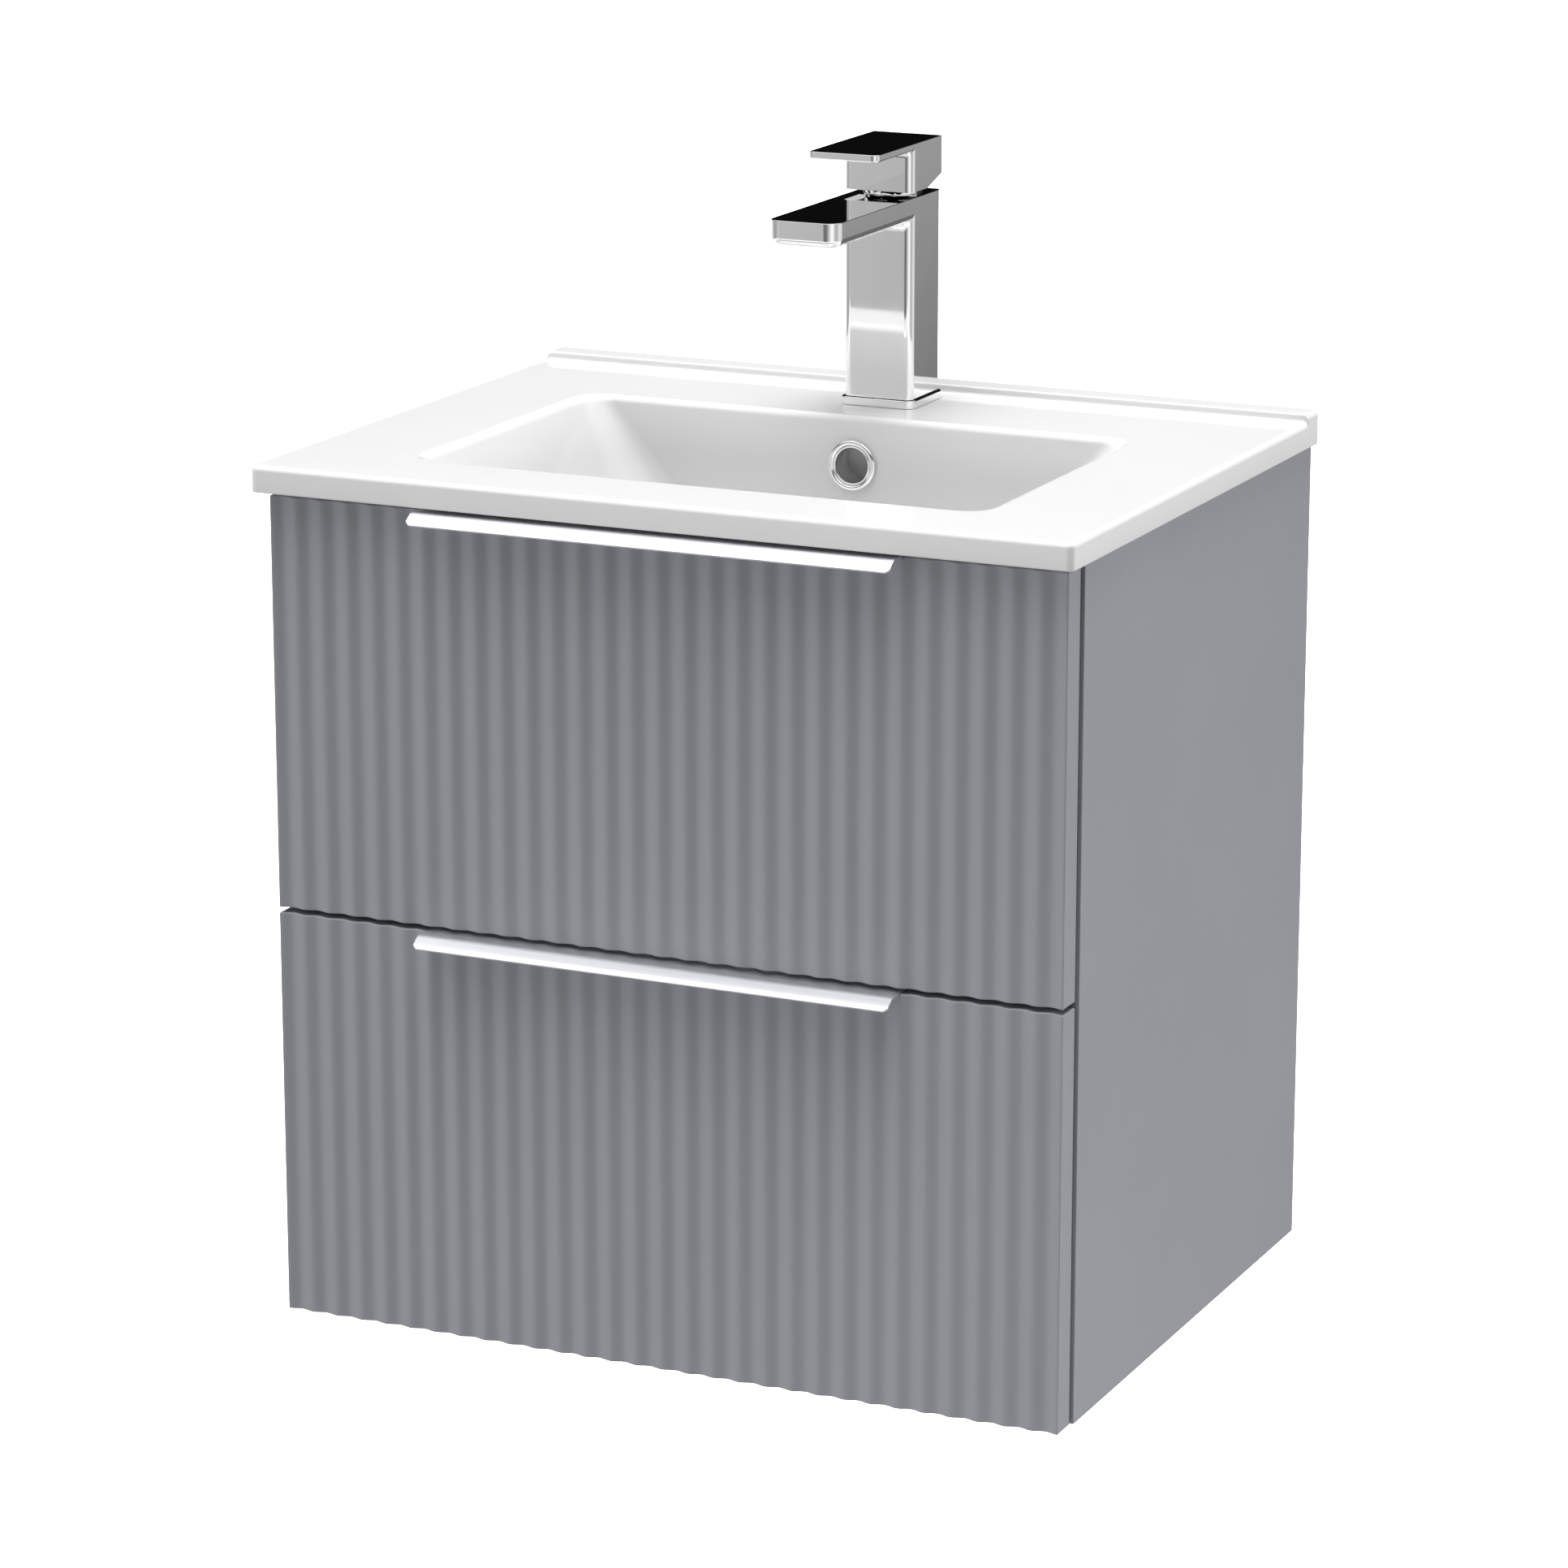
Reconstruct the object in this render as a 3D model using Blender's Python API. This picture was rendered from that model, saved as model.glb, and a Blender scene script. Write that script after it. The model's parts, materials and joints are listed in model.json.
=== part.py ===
"""Wall-hung bathroom vanity: a two-drawer cabinet, a ceramic basin with its waste, and a basin mixer.

Metres, +Z up. The origin is on the wall plane at mid-width, level with the top of the cabinet,
and the drawers open towards -Y.
"""

import math

import bmesh
import bpy
from mathutils import Matrix, Vector

GAP = 0.0003  # kept between pieces that touch

# Cabinet
HALF_W = 0.250
CABINET_H = 0.500
SIDE_D = 0.3655
BOARD = 0.018
INNER_X = HALF_W - BOARD
RAIL_H = 0.080
FRONT_RAIL_T = 0.012
FRONT_RAIL_H = 0.060
FRONT_RAIL_Y = -0.3635

# Drawer fronts: a row of rounded ridges, with one ridge line on each side edge
RIDGE_PITCH = 0.01655
RIDGES = 30
RIDGE_DEPTH = 0.0021
POINTS_PER_RIDGE = 6
FRONT_HALF_W = RIDGE_PITCH * RIDGES / 2
FRONT_CREST_Y = -0.3852
FRONT_BACK_Y = -0.3672
FRONT_H = 0.247
UPPER_TOP_Z = -0.003
LOWER_TOP_Z = UPPER_TOP_Z - FRONT_H - 0.003

# Edge handles: how far the plate, the slope and the lip reach in front of the ridges, and their drop
HANDLE_HALF_L = 0.150
HANDLE_T = 0.0015
HANDLE_REBATE = 0.001
HANDLE_LEG_H = 0.020
PLATE_REACH = 0.0103
SLOPE_REACH = 0.0159
SLOPE_DROP = 0.0038
LIP_REACH = 0.0183
LIP_DROP = 0.0062

# Wall hangers: steel of one width on both sides
HANGER_X = (0.198, 0.226)
WINDOW_X = (0.195, 0.229)
WINDOW_Z = (-0.072, -0.014)

# Drawer boxes and their telescopic runners
BOX_HALF_W = 0.219
BOX_BOARD = 0.015
BOX_BOTTOM_T = 0.008
BOX_BACK_Y = -0.066
UPPER_BOX_Z = (-0.238, -0.125)
LOWER_BOX_Z = (-0.465, -0.300)
CUTOUT_HALF_W = 0.070
CUTOUT_FRONT_Y = -0.300
RUNNER_FRONT_Y = -0.360
RUNNER_L = 0.300
RUNNER_SHEET = 0.0012
UPPER_RUNNER_Z = -0.200
LOWER_RUNNER_Z = -0.420

# Basin
BASIN_HALF_W = 0.255
BASIN_D = 0.396
BASIN_T = 0.016
BASIN_EDGE_R = 0.003
UPSTAND_D = 0.021
UPSTAND_Z = 0.021
BOWL_TOP = (0.178, -0.339, -0.115)  # half width, front, back at the deck
BOWL_FLOOR = (0.108, -0.312, -0.120)
BOWL_FLOOR_Z = -0.095
BOWL_WALL = 0.009
BOWL_UNDER_Z = -0.108
WASTE_Y = -0.226
WASTE_HOLE_R = 0.0225
WASTE_TAIL_R = (0.0190, 0.0218)
WASTE_TAIL_Z = -0.170
BRIDGE_Z = (-0.116, -0.108)
PLUG_R = 0.0302
PLUG_STEM_R = 0.0040
PLUG_SEAT_Z = -0.0908
OVERFLOW_Z = -0.014
OVERFLOW_TILT = math.atan((BOWL_TOP[2] - BOWL_FLOOR[2]) / (BASIN_T - BOWL_FLOOR_Z))

# Basin mixer
TAP_Y = -0.0585
TAP_HOLE_R = 0.0175
COLUMN = 0.045
COLUMN_R = 0.005
TAP_BASE = 0.049
TAP_BASE_TOP = 0.0210
TAP_TOP_Z = 0.144
SPOUT_FRONT_Y = -0.191
SPOUT_T = 0.015
SPOUT_R = 0.0088
AERATOR_Y = SPOUT_FRONT_Y + 0.022
AERATOR_R = 0.0115
AERATOR_Z = (0.1284, 0.1354)
STUD_Y = TAP_Y + 0.0115
STUD_BOTTOM_Z = -0.045
INLET_X = 0.0075
INLET_Y = TAP_Y - 0.006
INLET_BOTTOM_Z = -0.030
CARTRIDGE_R = 0.0174
CARTRIDGE_Z = (0.0915, 0.1385)
CUP_R = 0.0155
CUP_FLOOR_T = 0.0235
STEM_R = 0.0035
STEM_PIN_R = 0.0019
PIVOT_Z = 0.134
DOME_R = 0.0205
LEVER_Z = (0.1472, 0.1766)
LEVER_PLATE_T = 0.0045
LEVER_FRONT_Y = -0.133
LEVER_BACK_CUT = (0.022, 0.0066)  # how far forward and up the lower back corner is cut away

# name: colour, roughness, metallic
FINISHES = {
    "grey_lacquer": ((0.27, 0.285, 0.31), 0.42, 0.0),
    "white_board": ((0.80, 0.80, 0.79), 0.5, 0.0),
    "ceramic": ((0.88, 0.88, 0.88), 0.08, 0.0),
    "chrome": ((0.80, 0.80, 0.82), 0.06, 1.0),
    "zinc_steel": ((0.55, 0.56, 0.58), 0.35, 1.0),
    "brass": ((0.78, 0.60, 0.30), 0.3, 1.0),
    "rubber": ((0.03, 0.03, 0.03), 0.8, 0.0),
    "cartridge_plastic": ((0.75, 0.76, 0.74), 0.45, 0.0),
}


def clear_scene():
    for thing in list(bpy.data.objects):
        bpy.data.objects.remove(thing, do_unlink=True)


def make_finish(name):
    colour, roughness, metallic = FINISHES[name]
    material = bpy.data.materials.new(name)
    material.use_nodes = True
    shader = material.node_tree.nodes["Principled BSDF"]
    shader.inputs["Base Color"].default_value = (*colour, 1)
    shader.inputs["Roughness"].default_value = roughness
    shader.inputs["Metallic"].default_value = metallic
    return material


clear_scene()
PARTS = bpy.data.collections.new("bathroom_vanity")
CUTTERS = bpy.data.collections.new("cutters")
bpy.context.scene.collection.children.link(PARTS)
bpy.context.scene.collection.children.link(CUTTERS)
MATERIALS = {name: make_finish(name) for name in FINISHES}


# Shape tools


def finish_object(name, mesh, finish, origin=(0, 0, 0), smooth=False):
    """Wraps a mesh built in world space into an object whose origin is given."""
    mesh.transform(Matrix.Translation(-Vector(origin)))
    thing = bpy.data.objects.new(name, mesh)
    thing.location = origin
    if finish is None:
        CUTTERS.objects.link(thing)
        thing.hide_render = True
        thing.display_type = "WIRE"
        return thing
    PARTS.objects.link(thing)
    mesh.materials.append(MATERIALS[finish])
    if smooth:
        mesh.shade_smooth()
        mesh.set_sharp_from_angle(angle=math.radians(35))
    return thing


def mesh_from(bm, name):
    bmesh.ops.recalc_face_normals(bm, faces=bm.faces)
    mesh = bpy.data.meshes.new(name)
    bm.to_mesh(mesh)
    bm.free()
    return mesh


def cube_between(low, high):
    """A bmesh box from its lowest to its highest corner."""
    low, high = Vector(low), Vector(high)
    bm = bmesh.new()
    bmesh.ops.create_cube(bm, size=1)
    bmesh.ops.scale(bm, vec=high - low, verts=bm.verts)
    bmesh.ops.translate(bm, vec=(low + high) / 2, verts=bm.verts)
    return bm


def box(name, low, high, finish, origin=(0, 0, 0)):
    return finish_object(name, mesh_from(cube_between(low, high), name), finish, origin)


def upright_edges(bm):
    return [e for e in bm.edges if abs(e.verts[0].co.z - e.verts[1].co.z) > 1e-6]


def round_edges(bm, edges, radius, segments=3):
    bmesh.ops.bevel(
        bm, geom=edges, offset=radius, segments=segments, profile=0.5, affect="EDGES",
        clamp_overlap=True, material=-1,
    )


def post(name, low, high, radius, finish, origin=(0, 0, 0)):
    """A box whose upright edges are rounded."""
    bm = cube_between(low, high)
    round_edges(bm, upright_edges(bm), radius)
    return finish_object(name, mesh_from(bm, name), finish, origin, smooth=True)


def disc(name, centre, radius, depth, finish, axis="Z", sides=24, origin=(0, 0, 0)):
    """A cylinder about its centre, along Z, or along Y or X when turned."""
    turn = {
        "Z": Matrix.Identity(4),
        "Y": Matrix.Rotation(math.pi / 2, 4, "X"),
        "X": Matrix.Rotation(math.pi / 2, 4, "Y"),
    }[axis]
    bm = bmesh.new()
    bmesh.ops.create_cone(
        bm, cap_ends=True, segments=sides, radius1=radius, radius2=radius, depth=depth,
        matrix=Matrix.Translation(centre) @ turn,
    )
    return finish_object(name, mesh_from(bm, name), finish, origin, smooth=True)


def rod(name, place, z_range, radius, finish, sides=24, origin=(0, 0, 0)):
    """An upright cylinder at an (x, y) place between two heights."""
    low_z, high_z = z_range
    centre = (*place, (low_z + high_z) / 2)
    return disc(name, centre, radius, high_z - low_z, finish, sides=sides, origin=origin)


def extrusion(name, outline, start, length, axis, finish, origin=(0, 0, 0)):
    """A flat outline extruded along an axis: (x, y) along Z, (y, z) along X, or (x, z) along Y."""
    curve = bpy.data.curves.new(name, "CURVE")
    curve.dimensions = "2D"
    curve.fill_mode = "BOTH"
    curve.extrude = length / 2
    spline = curve.splines.new("POLY")
    spline.points.add(len(outline) - 1)
    for point, (u, v) in zip(spline.points, outline):
        point.co = (u, v, 0, 1)
    spline.use_cyclic_u = True
    guide = bpy.data.objects.new(name + "_outline", curve)
    CUTTERS.objects.link(guide)
    mesh = bpy.data.meshes.new_from_object(guide.evaluated_get(bpy.context.evaluated_depsgraph_get()))
    bpy.data.objects.remove(guide, do_unlink=True)
    middle = start + length / 2
    place = {
        "Z": Matrix.Translation((0, 0, middle)),
        "X": Matrix(((0, 0, 1, middle), (1, 0, 0, 0), (0, 1, 0, 0), (0, 0, 0, 1))),
        "Y": Matrix(((1, 0, 0, 0), (0, 0, -1, middle), (0, 1, 0, 0), (0, 0, 0, 1))),
    }[axis]
    bm = bmesh.new()
    bm.from_mesh(mesh)
    bmesh.ops.remove_doubles(bm, verts=bm.verts, dist=1e-6)
    bmesh.ops.transform(bm, matrix=place, verts=bm.verts)
    bpy.data.meshes.remove(mesh)
    return finish_object(name, mesh_from(bm, name), finish, origin)


def turned(name, profile, centre, finish, sides=24, tilt=None, origin=None):
    """A closed (radius, height) profile spun about Z through the centre, then tilted."""
    bm = bmesh.new()
    ring = [bm.verts.new((radius, 0, height)) for radius, height in profile]
    edges = [bm.edges.new((a, b)) for a, b in zip(ring, ring[1:] + ring[:1])]
    bmesh.ops.spin(
        bm, geom=ring + edges, cent=(0, 0, 0), axis=(0, 0, 1), angle=2 * math.pi,
        steps=sides, use_merge=True,
    )
    bmesh.ops.remove_doubles(bm, verts=bm.verts, dist=1e-7)
    place = Matrix.Translation(centre) @ (tilt or Matrix.Identity(4))
    bmesh.ops.transform(bm, matrix=place, verts=bm.verts)
    return finish_object(name, mesh_from(bm, name), finish, origin or centre, smooth=True)


def combine(thing, tool, operation):
    """Applies one EXACT Boolean and removes the tool that was joined or cut away."""
    modifier = thing.modifiers.new(operation.lower(), "BOOLEAN")
    modifier.operation = operation
    modifier.solver = "EXACT"
    modifier.object = tool
    bpy.context.view_layer.update()
    mesh = bpy.data.meshes.new_from_object(thing.evaluated_get(bpy.context.evaluated_depsgraph_get()))
    mesh.name = thing.name
    thing.modifiers.clear()
    thing.data = mesh
    bpy.data.objects.remove(tool, do_unlink=True)


def cut(thing, *tools):
    for tool in tools:
        combine(thing, tool, "DIFFERENCE")


def join(thing, *tools):
    for tool in tools:
        combine(thing, tool, "UNION")


def mirrored(low, high, side):
    """Swaps a right-hand box to the left when side is -1."""
    if side > 0:
        return low, high
    return (-high[0], low[1], low[2]), (-low[0], high[1], high[2])


def axis_empty(name, location):
    """An empty on a joint's axis that carries a moving piece."""
    empty = bpy.data.objects.new(name, None)
    empty.location = location
    PARTS.objects.link(empty)
    return empty


def carry(empty, *things):
    for thing in things:
        thing.parent = empty
        thing.matrix_parent_inverse = Matrix.Translation(-empty.location)


SIDES = (("left", -1), ("right", 1))


# Cabinet


def make_cabinet():
    for name, side in SIDES:
        low, high = mirrored((INNER_X, -SIDE_D, -CABINET_H), (HALF_W, 0, -GAP), side)
        box(f"side_panel_{name}", low, high, "grey_lacquer")
    x = INNER_X - GAP
    box("bottom_panel", (-x, -SIDE_D, -CABINET_H), (x, -0.010, BOARD - CABINET_H), "grey_lacquer")
    box(
        "front_rail", (-x, FRONT_RAIL_Y, -FRONT_RAIL_H), (x, FRONT_RAIL_Y + FRONT_RAIL_T, -GAP),
        "grey_lacquer",
    )
    floor_z = BOARD - CABINET_H + GAP
    box("lower_back_rail", (-x, -0.016, floor_z), (x, 0, floor_z + 0.060), "grey_lacquer")
    rail = box("hanging_rail", (-x, -BOARD, -RAIL_H), (x, 0, -GAP), "grey_lacquer")
    for _, side in SIDES:
        low = (WINDOW_X[0], -2 * BOARD, WINDOW_Z[0])
        low, high = mirrored(low, (WINDOW_X[1], BOARD, WINDOW_Z[1]), side)
        cut(rail, box("hook_window", low, high, None))


def make_wall_hangers():
    """Steel hangers hook through windows in the hanging rail onto plates screwed to the wall."""
    plate = [
        (0, -0.068), (0, -0.030), (-0.003, -0.030), (-0.006, -0.030), (-0.006, -0.025),
        (-0.009, -0.025), (-0.009, -0.033), (-0.003, -0.033), (-0.003, -0.068),
    ]
    front_y = -BOARD - GAP
    hanger = [
        (-0.060, -0.078), (front_y, -0.078), (front_y, -0.024), (-0.0055, -0.024),
        (-0.0055, -0.0297), (-0.0035, -0.0297), (-0.0035, -0.018), (-0.060, -0.018),
    ]
    inner, outer = HANGER_X
    for name, side in SIDES:
        start = inner if side > 0 else -outer
        extrusion(f"wall_plate_{name}", plate, start, outer - inner, "X", "zinc_steel")
        extrusion(f"hanger_{name}", hanger, start, outer - inner, "X", "zinc_steel")


# Drawers


def ridge_y(x):
    """The fluted face at a distance across the front: a ridge at the middle and at both edges."""
    wave = (1 - math.cos(2 * math.pi * x / RIDGE_PITCH)) / 2
    return FRONT_CREST_Y + RIDGE_DEPTH * wave


def make_front(level, top_z):
    steps = RIDGES * POINTS_PER_RIDGE
    xs = [-FRONT_HALF_W + 2 * FRONT_HALF_W * i / steps for i in range(steps + 1)]
    outline = [(x, ridge_y(x)) for x in xs]
    outline += [(FRONT_HALF_W, FRONT_BACK_Y), (-FRONT_HALF_W, FRONT_BACK_Y)]
    front = extrusion(f"{level}_drawer_front", outline, top_z - FRONT_H, FRONT_H, "Z", "grey_lacquer")
    x = HANDLE_HALF_L + GAP
    cut(front, box("rebate", (-x, -0.45, top_z - HANDLE_REBATE), (x, -0.30, top_z + 0.01), None))
    return front


def make_handle(level, top_z):
    """A bent strip: a leg behind the front, a flat plate over its top edge and a sloping lip."""
    back_y = FRONT_BACK_Y + GAP
    under_z = top_z - HANDLE_REBATE + GAP
    over_z = under_z + HANDLE_T
    slant = HANDLE_T * 0.72  # the strip's thickness across its sloping parts, along Y and Z
    crest = FRONT_CREST_Y
    outline = [
        (back_y + HANDLE_T, over_z), (crest - PLATE_REACH, over_z),
        (crest - SLOPE_REACH, over_z - SLOPE_DROP), (crest - LIP_REACH, over_z - LIP_DROP),
        (crest - LIP_REACH + slant, over_z - LIP_DROP - slant),
        (crest - SLOPE_REACH + slant, over_z - SLOPE_DROP - slant),
        (crest - PLATE_REACH + slant / 2, under_z), (back_y, under_z),
        (back_y, top_z - HANDLE_LEG_H), (back_y + HANDLE_T, top_z - HANDLE_LEG_H),
    ]
    return extrusion(f"{level}_handle", outline, -HANDLE_HALF_L, 2 * HANDLE_HALF_L, "X", "chrome")


def make_box_sides(level, box_z):
    """The two long sides of a drawer box, which both boxes share."""
    made = []
    for name, side in SIDES:
        low = (BOX_HALF_W - BOX_BOARD, FRONT_BACK_Y + GAP, box_z[0])
        low, high = mirrored(low, (BOX_HALF_W, BOX_BACK_Y, box_z[1]), side)
        made.append(box(f"{level}_box_side_{name}", low, high, "white_board"))
    return made


def make_upper_box():
    """The upper box has a deep notch at its back that passes round the waste."""
    bottom_z, top_z = UPPER_BOX_Z
    x = BOX_HALF_W - BOX_BOARD - GAP
    back_y = BOX_BACK_Y - BOX_BOARD
    notch_x = CUTOUT_HALF_W + BOX_BOARD
    notch_y = CUTOUT_FRONT_Y - BOX_BOARD
    made = make_box_sides("upper", UPPER_BOX_Z)
    for name, side in SIDES:
        low, high = mirrored((notch_x + GAP, back_y, bottom_z), (x, BOX_BACK_Y, top_z), side)
        made.append(box(f"upper_box_back_{name}", low, high, "white_board"))
        low, high = mirrored(
            (CUTOUT_HALF_W, CUTOUT_FRONT_Y + GAP, bottom_z), (notch_x, BOX_BACK_Y, top_z), side
        )
        made.append(box(f"notch_side_{name}", low, high, "white_board"))
    made.append(
        box("notch_front", (-notch_x, notch_y, bottom_z), (notch_x, CUTOUT_FRONT_Y, top_z), "white_board")
    )
    front_y = FRONT_BACK_Y + GAP
    outline = [
        (-x, front_y), (x, front_y), (x, back_y - GAP), (notch_x + GAP, back_y - GAP),
        (notch_x + GAP, notch_y - GAP), (-notch_x - GAP, notch_y - GAP),
        (-notch_x - GAP, back_y - GAP), (-x, back_y - GAP),
    ]
    made.append(extrusion("upper_box_bottom", outline, bottom_z, BOX_BOTTOM_T, "Z", "white_board"))
    return made


def make_lower_box():
    bottom_z, top_z = LOWER_BOX_Z
    x = BOX_HALF_W - BOX_BOARD - GAP
    back_y = BOX_BACK_Y - BOX_BOARD
    made = make_box_sides("lower", LOWER_BOX_Z)
    made.append(box("lower_box_back", (-x, back_y, bottom_z), (x, BOX_BACK_Y, top_z), "white_board"))
    made.append(
        box(
            "lower_box_bottom", (-x, FRONT_BACK_Y + GAP, bottom_z),
            (x, back_y - GAP, bottom_z + BOX_BOTTOM_T), "white_board",
        )
    )
    return made


def channel(web_x, tip_x, half_h, z):
    """A thin C-shaped section, from its web to the tips of its two lips."""
    inward = RUNNER_SHEET if tip_x > web_x else -RUNNER_SHEET
    inner_x = web_x + inward
    return [
        (web_x, z - half_h), (tip_x, z - half_h), (tip_x, z - half_h + RUNNER_SHEET),
        (inner_x, z - half_h + RUNNER_SHEET), (inner_x, z + half_h - RUNNER_SHEET),
        (tip_x, z + half_h - RUNNER_SHEET), (tip_x, z + half_h), (web_x, z + half_h),
    ]


def make_runner(level, name, side, z):
    """A three-part telescopic runner: cabinet rail, middle rail and drawer rail, one in another."""
    sections = {
        "cabinet_rail": channel(side * (INNER_X - GAP), side * 0.2215, 0.0175, z),
        "middle_rail": channel(side * 0.2297, side * 0.2212, 0.0155, z),
        "drawer_rail": channel(side * (BOX_HALF_W + GAP), side * 0.2275, 0.0135, z),
    }
    return {
        piece: extrusion(
            f"{level}_{piece}_{name}", outline, RUNNER_FRONT_Y, RUNNER_L, "Y", "zinc_steel"
        )
        for piece, outline in sections.items()
    }


def make_drawer(level, top_z, runner_z, make_box):
    drawer = axis_empty(f"{level}_drawer", (0, FRONT_BACK_Y, runner_z))
    rails = axis_empty(f"{level}_middle_rails", (0, RUNNER_FRONT_Y, runner_z))
    carry(drawer, make_front(level, top_z), make_handle(level, top_z), *make_box())
    for name, side in SIDES:
        runner = make_runner(level, name, side, runner_z)
        carry(drawer, runner["drawer_rail"])
        carry(rails, runner["middle_rail"])


# Basin


def tapered_tub(name, top, floor, top_z, floor_z, corner_r, floor_r):
    """A tub from its (half width, front, back) at two levels, with rounded corners and foot."""
    bm = cube_between((-1, -1, floor_z), (1, 1, top_z))
    for vertex in bm.verts:
        half_w, front, back = top if vertex.co.z > floor_z + 1e-6 else floor
        vertex.co.x = math.copysign(half_w, vertex.co.x)
        vertex.co.y = front if vertex.co.y < 0 else back
    round_edges(bm, upright_edges(bm), corner_r, 4)
    foot = [e for e in bm.edges if all(abs(v.co.z - floor_z) < 1e-6 for v in e.verts)]
    round_edges(bm, foot, floor_r, 3)
    return finish_object(name, mesh_from(bm, name), None)


def extended(top, floor, top_z, floor_z, above):
    """The tub's section where its walls, carried on upwards, reach a level above its top."""
    share = (above - top_z) / (top_z - floor_z)
    return tuple(a + (a - b) * share for a, b in zip(top, floor))


def make_basin():
    edge, top = BASIN_EDGE_R, BASIN_T
    outline = [
        (0, 0), (0, UPSTAND_Z), (-UPSTAND_D + 0.0015, UPSTAND_Z), (-UPSTAND_D, UPSTAND_Z - 0.0015),
        (-UPSTAND_D, top + 0.0015), (-UPSTAND_D - 0.0015, top), (edge - BASIN_D, top),
        (0.3 * edge - BASIN_D, top - 0.3 * edge), (-BASIN_D, top - edge), (-BASIN_D, 0),
    ]
    basin = extrusion("basin", outline, -BASIN_HALF_W, 2 * BASIN_HALF_W, "X", "ceramic")
    wall = BOWL_WALL
    outer_top = (BOWL_TOP[0] + wall, BOWL_TOP[1] - wall, BOWL_TOP[2] + wall)
    outer_floor = (BOWL_FLOOR[0] + wall, BOWL_FLOOR[1] - wall, BOWL_FLOOR[2] + wall)
    inside_top = extended(BOWL_TOP, BOWL_FLOOR, BASIN_T, BOWL_FLOOR_Z, BASIN_T + 0.010)
    join(
        basin,
        tapered_tub("bowl_outside", outer_top, outer_floor, 0.008, BOWL_UNDER_Z, 0.028, 0.030),
        box("overflow_duct", (-0.024, BOWL_TOP[2], BOWL_UNDER_Z), (0.024, -0.092, 0.008), None),
        rod("waste_boss", (0, WASTE_Y), (BOWL_UNDER_Z, BOWL_FLOOR_Z + 0.006), 0.034, None),
    )
    cut(
        basin,
        tapered_tub(
            "bowl_inside", inside_top, BOWL_FLOOR, BASIN_T + 0.010, BOWL_FLOOR_Z, 0.020, 0.024
        ),
        rod("tap_hole", (0, TAP_Y), (-BASIN_T, 2 * BASIN_T), TAP_HOLE_R, None),
        rod("waste_hole", (0, WASTE_Y), (BOWL_UNDER_Z - 0.02, 0), WASTE_HOLE_R, None),
        box("overflow_drop", (-0.015, -0.108, -0.102), (0.015, -0.097, 0.001), None),
        disc("overflow_hole", (0, -0.112, OVERFLOW_Z), 0.012, 0.020, None, axis="Y"),
    )
    return basin


def make_overflow_ring():
    """A chromed ring that lines the overflow hole, its face tilted to lie on the bowl's back wall."""
    profile = [
        (0.0104, 0), (0.0116, 0), (0.0116, -0.0052), (0.0152, -0.0052), (0.0154, -0.0066),
        (0.0142, -0.0078), (0.0125, -0.0072), (0.0104, -0.0060),
    ]
    wall_y = BOWL_TOP[2] - (BASIN_T - OVERFLOW_Z) * math.tan(OVERFLOW_TILT)
    centre = (0, wall_y + 0.0049, OVERFLOW_Z)
    turn = Matrix.Rotation(-math.pi / 2 - OVERFLOW_TILT, 4, "X")
    turned("overflow_ring", profile, centre, "chrome", tilt=turn)


def hex_nut(name, place, z_range, across_r, hole_r, finish):
    nut = rod(name, place, z_range, across_r, finish, sides=6)
    cut(nut, rod("nut_hole", place, (z_range[0] - BOARD, z_range[1] + BOARD), hole_r, None))
    return nut


def make_waste():
    """A slotless waste: flange and tail in one, a rubber seal and a nut below, a lift-up plug above."""
    place = (0, WASTE_Y)
    through = (WASTE_TAIL_Z, 0)
    inner_r, outer_r = WASTE_TAIL_R
    flange_z = BOWL_FLOOR_Z + 0.0005
    tail = turned(
        "waste_body",
        [
            (inner_r, WASTE_TAIL_Z), (outer_r, WASTE_TAIL_Z), (outer_r, flange_z), (0.0315, flange_z),
            (0.0315, flange_z + 0.001), (0.0290, flange_z + 0.003), (0.0205, flange_z + 0.003),
            (inner_r, flange_z + 0.0015),
        ],
        (*place, 0), "chrome",
    )
    reach = (inner_r + outer_r) / 2
    bridge = box(
        "bridge", (-reach, WASTE_Y - PLUG_STEM_R, BRIDGE_Z[0]),
        (reach, WASTE_Y + PLUG_STEM_R, BRIDGE_Z[1]), None,
    )
    join(bridge, rod("hub", place, BRIDGE_Z, 0.0075, None))
    cut(bridge, rod("hub_hole", place, through, PLUG_STEM_R + 0.0005, None))
    join(tail, bridge)
    seal_z = (BOWL_UNDER_Z - 0.0038, BOWL_UNDER_Z - 0.0004)
    seal = rod("waste_seal", place, seal_z, 0.033, "rubber")
    cut(seal, rod("seal_hole", place, through, outer_r + GAP, None))
    nut_z = (seal_z[0] - 0.0104, seal_z[0] - 0.0004)
    hex_nut("waste_nut", place, nut_z, 0.034, outer_r + 0.0004, "chrome")
    seat = PLUG_SEAT_Z
    plug = turned(
        "waste_plug",
        [
            (0, -0.128), (PLUG_STEM_R, -0.128), (PLUG_STEM_R, seat), (PLUG_R - 0.0002, seat),
            (PLUG_R, seat + 0.0013), (0.0270, seat + 0.0033), (0.0150, seat + 0.0046),
            (0, seat + 0.0050),
        ],
        (*place, 0), "chrome",
    )
    carry(axis_empty("plug_axis", (*place, seat)), plug)


# Basin mixer


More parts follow.
